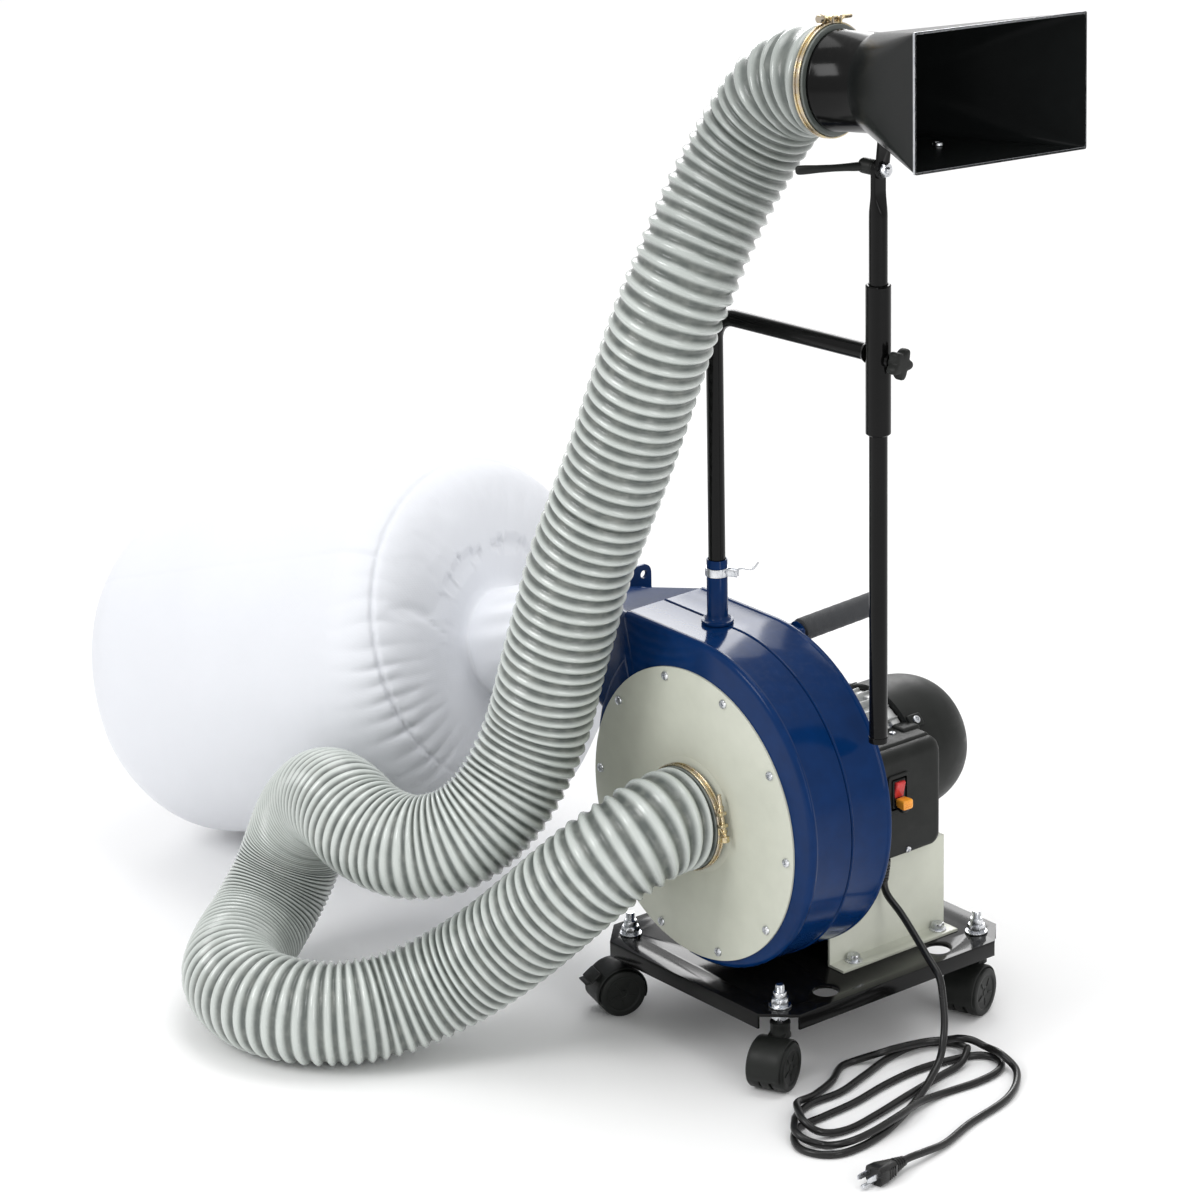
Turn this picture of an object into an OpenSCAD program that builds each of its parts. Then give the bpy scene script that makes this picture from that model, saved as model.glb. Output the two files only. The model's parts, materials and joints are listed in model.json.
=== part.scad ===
// Portable dust collector: blower on a wheeled plate, with a bag, a hose and a hood on a boom.
// Origin: on the floor under the middle of the base plate. +Z up, -Y towards the inlet cover,
// +Y towards the motor, -X towards the bag.

/* [Base plate] */
// Width of the base plate
plate_w = 304; // [290:1:330]
// Length of the base plate
plate_l = 340; // [330:1:380]
// Thickness of the base plate
plate_t = 3.5; // [2.5:0.5:5]
// Height of the base plate's top face above the floor
plate_top = 86; // [84:1:96]
// Leg of the chamfer on each corner of the plate
plate_chamfer = 31; // [20:1:40]
// Depth of the plate's down-turned lips
lip_h = 14; // [8:1:20]
// Distance of each caster stud from the plate's edges
stud_inset = 30; // [28:1:36]
// Diameter of the two lightening holes in the plate
plate_hole_d = 28; // [16:1:32]
// Distance between the two lightening holes
plate_hole_pitch = 160; // [150:1:170]
// Distance of the lightening holes from the plate's right edge
plate_hole_inset = 26; // [20:1:27]

/* [Casters] */
// Diameter of a caster wheel
wheel_d = 53; // [46:1:54]
// Width of one wheel of a twin caster
wheel_w = 15; // [11:1:16]
// Width of the web between the twin wheels
caster_web_w = 12; // [9:1:14]
// Trail from the stud to the wheel axle
caster_trail = 18; // [14:1:20]
// Diameter of the caster stud
stud_d = 10; // [8:1:12]

/* [Blower housing] */
// Radius of the housing's scroll
scroll_r = 180; // [172:1:184]
// Depth of the housing from front to rear
housing_depth = 110; // [100:1:116]
// Height of the fan axis above the floor
axis_z = 269; // [266:1:276]
// Distance of the housing's front face from the plate's middle
housing_front = 151.5; // [146:0.5:156]
// Diameter of the bolted cover plate
cover_d = 320; // [316:1:324]
// Thickness of the cover plate
cover_t = 2.5; // [1.5:0.5:4]
// Outside diameter of the inlet collar and the hood collar
collar_d = 100; // [96:1:104]
// Width of the hose clamp bands
clamp_w = 10; // [8:1:12]

/* [Outlet] */
// Outside diameter of the outlet neck
neck_d = 102; // [90:1:108]
// Side of the square outlet flange
flange_side = 130; // [122:1:136]
// Pitch of the flange's corner holes
flange_hole_pitch = 108; // [104:1:112]
// Diameter of the flange's corner holes
flange_hole_d = 9; // [6:0.5:12]

/* [Motor] */
// Diameter of the fan cover on the motor
fan_cover_d = 150; // [144:1:151]
// Diameter of the motor body over its fins
motor_d = 146; // [136:1:148]
// Length of the finned motor body
motor_l = 132; // [120:1:140]
// Height of the stand's top face above the plate
stand_h = 106; // [102:1:107]
// Width of the stand
stand_w = 170; // [160:1:180]
// Depth of the stand
stand_l = 164; // [150:1:168]
// Sheet thickness of the stand
stand_t = 3; // [2:0.5:4]

/* [Handle] */
// Length of the foam grip
grip_l = 104; // [90:1:118]
// Diameter of the foam grip
grip_d = 25; // [22:1:27]
// Diameter of the handle bar
handle_d = 14; // [10:1:16]

/* [Boom] */
// Outside diameter of the boom tube
boom_d = 18; // [16:0.5:20]
// Length of the crossbar from the leg's axis to the post's axis
boom_reach = 214; // [210:1:230]
// Angle of the boom in plan, from +X
boom_yaw = 9.5; // [0:0.5:15]
// Height of the crossbar's axis above the floor
crossbar_z = 803; // [760:1:840]
// Outside diameter of the sliding sleeve
sleeve_d = 26; // [25:0.5:30]
// Length of the sleeve above the crossbar
sleeve_up = 74; // [50:1:90]
// Length of the sleeve below the crossbar
sleeve_down = 84; // [60:1:100]
// Outside diameter of the hood post
post_d = 19; // [17:0.5:20]
// Length of the hood post
post_l = 600; // [560:1:610]
// Height of the hood pivot above the floor
pivot_z = 997; // [990:1:1040]

/* [Hood] */
// Width of the hood's mouth
mouth_w = 277; // [240:1:300]
// Height of the hood's mouth
mouth_h = 136; // [120:1:150]
// Length of the hood's flared part
flare_l = 152; // [130:1:170]
// Length of the hood's collar
hood_collar_l = 63; // [50:1:70]
// Sheet thickness of the hood
hood_t = 2; // [1.5:0.5:3]
// Upward pitch of the hood
hood_pitch = 6.5; // [0:0.5:10]
// Sideways tilt of the hood as it stands
hood_roll = -8; // [-12:0.5:0]
// Height of the hood's axis above its pivot, under the mouth
hood_rise = 101; // [98:1:110]
// Distance of the hood's mouth in front of its pivot
hood_reach = 142; // [138:1:150]

/* [Hose, bag and cord] */
// Outside diameter of the ribbed hose
hose_d = 112; // [108:1:114]
// Radius of the bag at its neck end
bag_r_near = 214; // [200:1:216]
// Radius of the bag at its far end
bag_r_far = 198; // [190:1:206]
// Length of the bag
bag_l = 518; // [500:1:560]
// Radius of the bag's rounded ends
bag_round = 72; // [50:1:90]
// Diameter of the power cord
cord_d = 8; // [7:0.5:9]

/* [Hidden] */

run_gap = 0.05;                 // running clearance, on the radius
seat_gap = 0.3;                 // clearance between pieces on different bodies
fine = 96;
coarse = 48;

// Colours
navy = [0.06, 0.12, 0.33];
cream = [0.84, 0.84, 0.78];
gloss_black = [0.06, 0.06, 0.07];
satin_black = [0.10, 0.10, 0.11];
zinc = [0.78, 0.79, 0.80];
brass = [0.72, 0.60, 0.32];
grey_green = [0.74, 0.77, 0.75];

// Base plate places
half_w = plate_w / 2;
half_l = plate_l / 2;
plate_bottom = plate_top - plate_t;
stud_x = half_w - stud_inset;
stud_y = half_l - stud_inset;
hole_x = half_w - plate_hole_inset;

// Caster places: stud position and the direction of the trail, in plan
CASTERS = [[stud_x, -stud_y, -65], [stud_x, stud_y, -70], [-stud_x, -stud_y, -107],
    [-stud_x, stud_y, -80]];
wheel_r = wheel_d / 2;
caster_neck_top = plate_bottom - 13;
nut_af = 17;
nut_h = 8;
washer_d = 24;
washer_t = 2;

// Housing places
scroll_x = 7;
scroll_z = axis_z + 14.5;
housing_top = scroll_z + scroll_r;
front_y = -housing_front;
rear_y = front_y + housing_depth;
mid_y = (front_y + rear_y) / 2;
bead_h = 1.2;
duct_x = -110;
flange_x = -208;
flange_t = 4;
outlet_z = housing_top - 67;
duct_floor_z = outlet_z - 81;
neck_l = 52;
neck_end_x = flange_x - flange_t - neck_l;

// Inlet
inlet_y = front_y - cover_t;
flare_h = 3;
inlet_l = flare_h + clamp_w + 1;
hose_start_y = inlet_y - inlet_l;

// Motor
motor_y = rear_y + 8;
fan_cover_y = motor_y + motor_l;
fan_cover_l = 96.5;
motor_flange_d = 150;
stand_top = plate_top + stand_h;
stand_y = rear_y + 4;
foot_w = 22;

// Handle
grip_x = 34;
grip_z = 454;
handle_foot_t = 7;
grip_tilt = 2;

// Boom
leg_x = -23;
// Underside of the hood's floor above the pivot, at the mouth
strip_top = hood_rise - mouth_h / 2 * cos(hood_pitch) - 0.2;
leg_y = mid_y;
socket_d = boom_d + 4;
socket_z = housing_top + bead_h;
socket_top = socket_z + 70;
socket_seat = 8;
boom_bend_r = 28;
post_top = pivot_z - 14;
post_x = leg_x + boom_reach * cos(boom_yaw);
post_y = leg_y + boom_reach * sin(boom_yaw);
flat_t = 6;
pivot_d = 8;
ear_t = 3;
rim_w = 2;
ear_x = flat_t / 2 + seat_gap + ear_t / 2;

// Switch box
box_x = 58;
box_face_x = 100;
box_y0 = 14;
box_y1 = 109;
box_z0 = stand_top + 0.5;
box_z1 = box_z0 + 122;
switch_y = 46;
switch_z = 268;
rocker_w = 18;
rocker_h = 32;
rocker_pin_d = 4;

// ---------- small helpers ----------

module hex_nut(af, h) {
    cylinder(d = af / cos(30), h = h, $fn = 6);
}

module along_y(y) {
    translate([0, y, axis_z]) rotate([-90, 0, 0]) children();
}

// Hose end round +Z: the cuff on its collar, the worm-drive band and its screw
module hose_clamp(screw_angle) {
    band_t = 1.2;
    difference() {
        union() {
            cylinder(d = hose_d + 2 * band_t, h = clamp_w, $fn = fine);
            rotate([0, 0, screw_angle]) translate([hose_d / 2 + band_t + 3, 0, clamp_w / 2]) {
                cube([9, 14, clamp_w], center = true);
                translate([1.5, -30, 0]) rotate([-90, 0, 0]) cylinder(d = 4.5, h = 46, $fn = 24);
                translate([1.5, 16, 0]) rotate([-90, 0, 0]) cylinder(d = 9, h = 6, $fn = 24);
            }
        }
        translate([0, 0, -1]) cylinder(d = collar_d, h = clamp_w + 2, $fn = fine);
    }
}

// ---------- base ----------

module plate_outline(grow = 0) {
    w = half_w + grow;
    l = half_l + grow;
    c = plate_chamfer;
    polygon([[w - c, -l], [w, -l + c], [w, l - c], [w - c, l], [-w + c, l], [-w, l - c], [-w, -l + c],
        [-w + c, -l]]);
}

module base_plate() color(gloss_black) {
    lip_t = 2.5;
    difference() {
        union() {
            translate([0, 0, plate_bottom]) linear_extrude(plate_t) plate_outline();
            for (s = [-1, 1]) {
                translate([s * (half_w - lip_t / 2), 0, plate_bottom - lip_h / 2 + 0.5])
                    cube([lip_t, plate_l - 2 * plate_chamfer, lip_h + 1], center = true);
                translate([0, s * (half_l - lip_t / 2), plate_bottom - lip_h / 2 + 0.5])
                    cube([plate_w - 2 * plate_chamfer, lip_t, lip_h + 1], center = true);
            }
        }
        for (c = CASTERS)
            translate([c[0], c[1], plate_bottom - 1]) cylinder(d = stud_d, h = plate_t + 2, $fn = 32);
        for (s = [-1, 1])
            translate([hole_x, s * plate_hole_pitch / 2, plate_bottom - 1])
                cylinder(d = plate_hole_d, h = plate_t + 2, $fn = coarse);
    }
}

module caster_studs() color(zinc) {
    stud_up = 25;
    for (c = CASTERS) translate([c[0], c[1], 0]) {
        translate([0, 0, caster_neck_top - 14])
            cylinder(d = stud_d, h = plate_top + stud_up - caster_neck_top + 14, $fn = 32);
        translate([0, 0, plate_top]) cylinder(d = washer_d, h = washer_t, $fn = 32);
        translate([0, 0, plate_top + washer_t]) hex_nut(nut_af, nut_h);
        translate([0, 0, plate_top + washer_t + nut_h]) cylinder(d = nut_af - 3, h = 7, $fn = 32);
        translate([0, 0, plate_bottom - nut_h - washer_t]) hex_nut(nut_af, nut_h + washer_t);
    }
}

module at_caster(i) {
    c = CASTERS[i - 1];
    translate([c[0], c[1], 0]) rotate([0, 0, c[2]]) children();
}

// In a caster's own frame +X is the trail, so the axle runs along Y
module caster_body(i) color(satin_black) at_caster(i) {
    neck_d = 22;
    guard_r = wheel_r + 3;
    guard_w = caster_web_w + 2 * wheel_w - 4;
    neck_z = wheel_r + sqrt(pow(wheel_r + 1, 2) - pow(caster_trail - neck_d / 2, 2)) + 1;
    difference() {
        union() {
            translate([0, 0, neck_z]) cylinder(d = neck_d, h = caster_neck_top - neck_z, $fn = coarse);
            intersection() {
                translate([caster_trail, 0, wheel_r]) rotate([90, 0, 0])
                    cylinder(r = guard_r, h = guard_w, center = true, $fn = fine);
                translate([caster_trail - 40, -30, 16]) cube([80, 60, 60]);
            }
            translate([caster_trail, 0, wheel_r]) rotate([90, 0, 0])
                cylinder(r = wheel_r - 4, h = caster_web_w - 2, center = true, $fn = fine);
        }
        for (s = [-1, 1]) translate([caster_trail, s * (caster_web_w / 2 + 15), wheel_r]) rotate([90, 0, 0])
            cylinder(r = wheel_r + 1, h = 30, center = true, $fn = fine);
        translate([0, 0, caster_neck_top - 14.5]) cylinder(r = stud_d / 2 + run_gap, h = 20, $fn = 32);
        translate([caster_trail, 0, wheel_r]) rotate([90, 0, 0])
            cylinder(r = 3 + run_gap, h = 60, center = true, $fn = 32);
    }
}

module caster_wheels(i) color(satin_black) at_caster(i)
    translate([caster_trail, 0, wheel_r]) rotate([90, 0, 0]) {
        cylinder(r = 3, h = caster_web_w + wheel_w, center = true, $fn = 32);
        for (s = [-1, 1])
            translate([0, 0, s * (caster_web_w + wheel_w + 1) / 2]) rotate_extrude($fn = fine)
                polygon([[0, -wheel_w / 2], [wheel_r, -wheel_w / 2], [wheel_r, wheel_w / 2 - 2],
                    [wheel_r - 2, wheel_w / 2], [0, wheel_w / 2]]
                    * [[1, 0], [0, s]]);
    }

// ---------- blower housing ----------

// Outline of the scroll in the XZ plane: two arcs and the flat run to the outlet
module scroll_outline(grow = 0) {
    left_r = 190;
    intersection() {
        translate([scroll_x, scroll_z]) circle(r = scroll_r + grow, $fn = 180);
        translate([30, scroll_z + 6.5]) circle(r = left_r + grow, $fn = 180);
    }
    translate([duct_x, duct_floor_z]) square([scroll_x - duct_x, housing_top + grow - duct_floor_z]);
}

module scroll_slab(y0, y1, grow = 0) {
    translate([0, y1, 0]) rotate([90, 0, 0]) linear_extrude(y1 - y0) scroll_outline(grow);
}

module front_bead() {
    scroll_slab(front_y + 1, front_y + 5, bead_h);
}

module rear_beads() {
    scroll_slab(mid_y, mid_y + 2, bead_h);
    scroll_slab(rear_y - 5, rear_y - 1, bead_h);
}

module scroll_beads() {
    front_bead();
    rear_beads();
}

module housing_front_half() color(navy) {
    scroll_slab(front_y, mid_y);
    front_bead();
}

module housing_rear_half() color(navy) {
    scroll_slab(mid_y, rear_y);
    rear_beads();
}

module cover_plate() color(cream) {
    difference() {
        along_y(inlet_y) cylinder(d = cover_d, h = cover_t, $fn = 180);
        along_y(inlet_y - 1) cylinder(d = collar_d - 6, h = cover_t + 2, $fn = fine);
    }
}

module inlet_collar() color(cream) {
    along_y(inlet_y - inlet_l) difference() {
        union() {
            cylinder(d = collar_d, h = inlet_l, $fn = fine);
            translate([0, 0, inlet_l - flare_h])
                cylinder(d1 = collar_d, d2 = collar_d + 26, h = flare_h, $fn = fine);
        }
        translate([0, 0, -1]) cylinder(d = collar_d - 6, h = inlet_l + 2, $fn = fine);
    }
}

module inlet_clamp() color(brass) {
    translate([0, hose_start_y, axis_z]) rotate([-90, 0, 0]) hose_clamp(-12);
}

module outlet_duct() color(navy) {
    round_d = housing_depth - 2;
    difference() {
        hull() {
            translate([duct_x - 1, front_y, duct_floor_z])
                cube([1, housing_depth, housing_top - duct_floor_z]);
            translate([flange_x, mid_y, outlet_z]) rotate([0, 90, 0])
                cylinder(d = round_d, h = 1, $fn = coarse);
        }
        scroll_slab(front_y - 1, rear_y + 1);
        scroll_beads();
    }
    translate([flange_x - flange_t, mid_y, outlet_z]) rotate([90, 0, 90])
        linear_extrude(flange_t) difference() {
            square([flange_side, flange_side], center = true);
            for (a = [-1, 1], b = [-1, 1])
                translate([a, b] * flange_hole_pitch / 2) circle(d = flange_hole_d, $fn = 32);
            for (k = [0:3]) rotate(90 * k)
                translate([flange_side / 2 - 11, flange_side / 2 - 11]) difference() {
                    square(12);
                    circle(r = 11, $fn = 48);
                }
        }
    outlet_neck();
}

module outlet_neck() {
    translate([neck_end_x, mid_y, outlet_z]) rotate([0, 90, 0]) difference() {
        cylinder(d = neck_d, h = neck_l, $fn = fine);
        translate([0, 0, -1]) cylinder(d = neck_d - 5, h = neck_l - 2, $fn = fine);
    }
}

// ---------- motor and stand ----------

module motor_stand() color(cream) {
    y0 = stand_y;
    y1 = stand_y + stand_l;
    for (s = [-1, 1]) translate([s * (stand_w / 2 - stand_t / 2), (y0 + y1) / 2, plate_top + stand_h / 2])
        cube([stand_t, stand_l, stand_h], center = true);
    translate([0, (y0 + y1) / 2, stand_top - stand_t / 2])
        cube([stand_w - 2 * stand_t, stand_l, stand_t], center = true);
    translate([0, y1 - stand_t / 2, plate_top + (stand_h - stand_t) / 2])
        cube([stand_w - 2 * stand_t, stand_t, stand_h - stand_t], center = true);
    for (s = [-1, 1]) difference() {
        translate([s * (stand_w / 2 + foot_w / 2), (y0 + y1) / 2, plate_top + stand_t / 2])
            cube([foot_w, stand_l, stand_t], center = true);
        for (y = [y0 + 26, y1 - 17])
            translate([s * (stand_w / 2 + foot_w / 2 - 2), y, plate_top - 1])
                cylinder(d = 8, h = stand_t + 2, $fn = 32);
    }
}

module motor_flange() color(satin_black) {
    along_y(rear_y) cylinder(d = motor_flange_d, h = motor_y - rear_y, $fn = fine);
}

module motor_body() color([0.70, 0.72, 0.72]) {
    fin_n = 28;
    fin_h = 9;
    along_y(motor_y) {
        cylinder(d = motor_d - 2 * fin_h, h = motor_l, $fn = fine);
        for (k = [0:fin_n - 1]) rotate([0, 0, 360 / fin_n * k])
            translate([motor_d / 2 - fin_h / 2 - 1, 0, motor_l / 2 - 8])
                cube([fin_h + 1.8, 3, motor_l - 24], center = true);
    }
    for (s = [-1, 1]) translate([s * 42 - 14, motor_y + 30, stand_top]) cube([28, 70, 36]);
}

module motor_fan_cover() color(satin_black) {
    r = fan_cover_d / 2;
    round_r = 38;
    round_l = 61;
    straight = fan_cover_l - round_l;
    along_y(fan_cover_y) rotate_extrude($fn = fine)
        polygon(concat([[0, 0], [r, 0]],
            [for (a = [0:7.5:90]) [r - round_r + round_r * cos(a), straight + round_l * sin(a)]],
            [[0, fan_cover_l]]));
}

module switch_box() color(satin_black) {
    difference() {
        hull() {
            translate([box_x, box_y0, box_z0])
                cube([box_face_x - box_x - 8, box_y1 - box_y0, box_z1 - box_z0]);
            translate([box_face_x - 1, box_y0 + 6, box_z0 + 6])
                cube([1, box_y1 - box_y0 - 12, box_z1 - box_z0 - 12]);
        }
        along_y(0) cylinder(d = motor_d, h = fan_cover_y - 1, $fn = fine);
        along_y(fan_cover_y - 1) cylinder(d = fan_cover_d + 1, h = 40, $fn = fine);
        translate([box_face_x, switch_y, switch_z]) cube([18, rocker_w + 4, rocker_h + 4], center = true);
        at_switch() rotate([90, 0, 0])
            cylinder(r = rocker_pin_d / 2 + run_gap, h = rocker_w + 9, center = true, $fn = 32);
    }
    translate([box_face_x, switch_y, switch_z]) difference() {
        translate([1.5, 0, 0]) cube([3, rocker_w + 14, rocker_h + 14], center = true);
        cube([20, rocker_w + 4, rocker_h + 4], center = true);
    }
}

// Frame of the switch: origin on the rocker's pivot, behind the box's face
module at_switch() {
    translate([box_face_x - 5, switch_y, switch_z]) children();
}

module switch_rocker() color([0.72, 0.10, 0.08]) at_switch() {
    rotate([90, 0, 0]) cylinder(d = rocker_pin_d, h = rocker_w + 8, center = true, $fn = 32);
    translate([5.5, 0, 0]) cube([7, rocker_w, rocker_h], center = true);
}

module safety_key() color([0.93, 0.50, 0.08]) at_switch() {
    translate([9, -7, -14]) cube([13, 14, 11]);
}

// Frame of the handle: origin on its foot's face, +Z along the grip
module at_grip() {
    translate([grip_x, rear_y + handle_foot_t, grip_z]) rotate([grip_tilt - 90, 0, 0]) children();
}

module handle_bar() color(navy) {
    translate([grip_x - 12, rear_y, grip_z - 20]) cube([24, handle_foot_t, 26]);
    at_grip() translate([0, 0, -3]) cylinder(d = handle_d, h = grip_l - 1, $fn = 32);
}

module handle_grip() color([0.16, 0.17, 0.18]) {
    at_grip() translate([0, 0, 2]) difference() {
        cylinder(d = grip_d, h = grip_l, $fn = coarse);
        translate([0, 0, -1]) cylinder(d = handle_d, h = grip_l - 5, $fn = 32);
    }
}

// ---------- boom ----------

module boom_socket() color(navy) {
    translate([leg_x, leg_y, socket_z]) difference() {
        union() {
            cylinder(d = socket_d, h = socket_top - socket_z, $fn = coarse);
            cylinder(d = socket_d + 12, h = 3, $fn = coarse);
        }
        translate([0, 0, socket_seat])
            cylinder(r = boom_d / 2 + run_gap, h = socket_top - socket_z, $fn = coarse);
    }
}

module socket_clamp() color(zinc) {
    translate([leg_x, leg_y, socket_top - 18]) {
        difference() {
            cylinder(d = socket_d + 3, h = 9, $fn = coarse);
            translate([0, 0, -1]) cylinder(d = socket_d, h = 11, $fn = coarse);
        }
        rotate([0, 0, boom_yaw + 20]) {
            translate([socket_d / 2 + 1, -4, 0.5]) cube([12, 8, 8]);
            translate([socket_d / 2 + 10, -2, 3]) rotate([0, -14, 0]) cube([28, 4, 4]);
        }
    }
}

module in_boom() {
    translate([leg_x, leg_y, 0]) rotate([0, 0, boom_yaw]) children();
}

module boom_tube() color(gloss_black) in_boom() {
    bottom = socket_z + socket_seat + seat_gap;
    translate([0, 0, bottom]) cylinder(d = boom_d, h = crossbar_z - boom_bend_r - bottom, $fn = coarse);
    translate([boom_bend_r, 0, crossbar_z - boom_bend_r]) rotate([90, 0, 180])
        rotate_extrude(angle = 90, $fn = 96) translate([boom_bend_r, 0]) circle(d = boom_d, $fn = coarse);
    difference() {
        translate([boom_bend_r, 0, crossbar_z]) rotate([0, 90, 0])
            cylinder(d = boom_d, h = boom_reach - boom_bend_r, $fn = coarse);
        translate([boom_reach, 0, crossbar_z - 50]) cylinder(d = sleeve_d, h = 100, $fn = coarse);
    }
}

module boom_sleeve() color(gloss_black) in_boom() {
    translate([boom_reach, 0, crossbar_z - sleeve_down]) difference() {
        cylinder(d = sleeve_d, h = sleeve_up + sleeve_down, $fn = coarse);
        translate([0, 0, -1])
            cylinder(r = post_d / 2 + run_gap, h = sleeve_up + sleeve_down + 2, $fn = coarse);
    }
}

module sleeve_knob() color(satin_black) in_boom() {
    lobes = 5;
    difference() {
        translate([boom_reach + sleeve_d / 2 - 2, 0, crossbar_z - 4]) rotate([0, 90, 0]) {
            cylinder(d = 9, h = 12, $fn = 32);
            translate([0, 0, 10]) cylinder(d = 26, h = 12, $fn = coarse);
            for (k = [0:lobes - 1]) rotate([0, 0, 360 / lobes * k]) translate([11, 0, 10])
                cylinder(d = 12, h = 12, $fn = 32);
        }
        translate([boom_reach, 0, crossbar_z - sleeve_down])
            cylinder(d = sleeve_d, h = sleeve_down + sleeve_up, $fn = coarse);
    }
}

// ---------- hood post and pivot ----------

module hood_post() color(gloss_black) {
    translate([post_x, post_y, post_top - post_l]) cylinder(d = post_d, h = post_l - 8, $fn = coarse);
    in_tilt(0) difference() {
        translate([0, 0, -12]) cube([flat_t, post_d - 1, 24], center = true);
        rotate([0, 90, 0]) cylinder(d = pivot_d, h = 20, center = true, $fn = 32);
    }
    in_tilt(0) rotate([0, 90, 0]) difference() {
        cylinder(d = post_d - 1, h = flat_t, center = true, $fn = coarse);
        cylinder(d = pivot_d, h = 20, center = true, $fn = 32);
    }
}

// Frame of the hood's tilt: origin on the pivot, +X along the pivot bolt towards the mouth
module in_tilt(roll) {
    translate([post_x, post_y, pivot_z]) rotate([0, 0, boom_yaw]) rotate([roll, 0, 0]) children();
}

module pivot_bolt() color(zinc) in_tilt(0) rotate([0, 90, 0]) {
    translate([0, 0, -flat_t / 2]) cylinder(d = pivot_d, h = flat_t + ear_t + 3 * seat_gap, $fn = 32);
    translate([0, 0, flat_t / 2 + ear_t + 2 * seat_gap]) hex_nut(13, 6);
}

module ratchet_lever() color(satin_black) in_tilt(0) {
    translate([-flat_t / 2 - 18, 0, 0]) rotate([0, 90, 0]) cylinder(d = 16, h = 18, $fn = 32);
    translate([-flat_t / 2 - 11, 0, 0]) rotate([0, 0, -130]) rotate([0, 90, 0])
        cylinder(d1 = 10, d2 = 8, h = 72, $fn = 32);
}

// ---------- hood ----------

module in_hood() {
    in_tilt(hood_roll) translate([hood_reach, 0, hood_rise]) rotate([0, -hood_pitch, 0]) children();
}

module flare_solid(shrink, extra) {
    hull() {
        translate([-0.5 + extra, 0, 0]) cube([1, mouth_w - 2 * shrink, mouth_h - 2 * shrink], center = true);
        translate([-flare_l - extra, 0, 0]) rotate([0, 90, 0])
            cylinder(d = collar_d - 2 * shrink, h = 1, $fn = 32);
    }
}

module hood_flare() color(gloss_black) in_hood() {
    difference() {
        union() {
            flare_solid(0, 0);
            translate([-rim_w / 2, 0, 0]) cube([rim_w, mouth_w, mouth_h], center = true);
        }
        flare_solid(hood_t, 0.5);
    }
}

module hood_collar() color(gloss_black) in_hood() {
    translate([-flare_l - hood_collar_l, 0, 0]) rotate([0, 90, 0]) difference() {
        cylinder(d = collar_d, h = hood_collar_l, $fn = fine);
        translate([0, 0, -1]) cylinder(d = collar_d - 2 * hood_t, h = hood_collar_l + 2, $fn = fine);
    }
}

module hood_bracket() color(gloss_black) {
    in_tilt(hood_roll) difference() {
        union() {
            translate([ear_x - ear_t / 2, -10, 0]) cube([ear_t, 20, strip_top]);
            translate([ear_x, 0, 0]) rotate([0, 90, 0])
                cylinder(d = 20, h = ear_t, center = true, $fn = coarse);
        }
        rotate([0, 90, 0]) cylinder(r = pivot_d / 2 + run_gap, h = 40, center = true, $fn = 32);
    }
    in_tilt(hood_roll) translate([ear_x - ear_t / 2, -10, strip_top - ear_t]) cube([84, 20, ear_t]);
}

module hood_clamp() color(brass) in_hood() {
    translate([-flare_l - hood_collar_l, 0, 0]) rotate([0, 90, 0]) hose_clamp(180);
}

// ---------- bag ----------

bag_neck_c = [-399, -80, 325];      // middle of the bag's neck end
bag_yaw = 190;                      // heading of the bag's axis, from +X
bag_droop = 16.6;                   // how far the bag's axis points down

module in_bag() {
    translate(bag_neck_c) rotate([0, 0, bag_yaw]) rotate([0, 90 + bag_droop, 0]) children();
}

module dust_bag() color([0.95, 0.95, 0.97]) {
    in_bag() rotate_extrude($fn = 72) polygon(concat([[0, 0]],
        [for (a = [0:15:90]) [bag_r_near - bag_round + bag_round * sin(a), bag_round - bag_round * cos(a)]],
        [for (a = [0:15:90])
            [bag_r_far - bag_round + bag_round * cos(a), bag_l - bag_round + bag_round * sin(a)]],
        [[0, bag_l]]));
    hull() {
        translate([neck_end_x - 2, mid_y, outlet_z]) rotate([0, 90, 0])
            cylinder(d = neck_d + 6, h = 2, $fn = 32);
        in_bag() translate([0, 0, 2]) cylinder(d = neck_d + 30, h = 2, $fn = 32);
    }
}

module bag_strap() color(zinc) {
    translate([neck_end_x + 3, mid_y, outlet_z]) rotate([0, 90, 0]) difference() {
        cylinder(d = neck_d + 8, h = 12, $fn = fine);
        translate([0, 0, -1]) cylinder(d = neck_d, h = 14, $fn = fine);
    }
}

// ---------- hose ----------

// Middle line of the hose, from the inlet to the hood
HOSE = [[0, hose_start_y, axis_z], [0, hose_start_y - 30, axis_z], [-4, -226, 260], [-18, -254, 242],
    [-42, -278, 212], [-76, -300, 172], [-112, -322, 132], [-146, -350, 98], [-172, -382, 76],
    [-192, -415, 63], [-212, -450, 58], [-242, -482, 57], [-280, -502, 58], [-320, -506, 58],
    [-367, -491, 58], [-410, -451, 60], [-432, -413, 72], [-441, -385, 92], [-443, -364, 118],
    [-438, -351, 151], [-419, -348, 188], [-374, -356, 225], [-323, -368, 233], [-285, -374, 227],
    [-251, -370, 221], [-223, -360, 219], [-202, -344, 222], [-184, -325, 231], [-171, -303, 247],
    [-163, -281, 269], [-158, -261, 297], [-150, -240, 345], [-133, -230, 418], [-118, -223, 475],
    [-102, -215, 537], [-81, -205, 597], [-63, -196, 649], [-45, -187, 706], [-25, -178, 770],
    [-10, -168, 821], [0, -152, 866], [4, -133, 905], [9, -112, 943], [19, -93, 981],
    [36, -79, 1018], [60, -72, 1050], [81, -68, 1063], hood_point(-14), hood_point(-seat_gap)];
hose_cut_low = 33;
hose_cut_high = 38;

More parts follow.
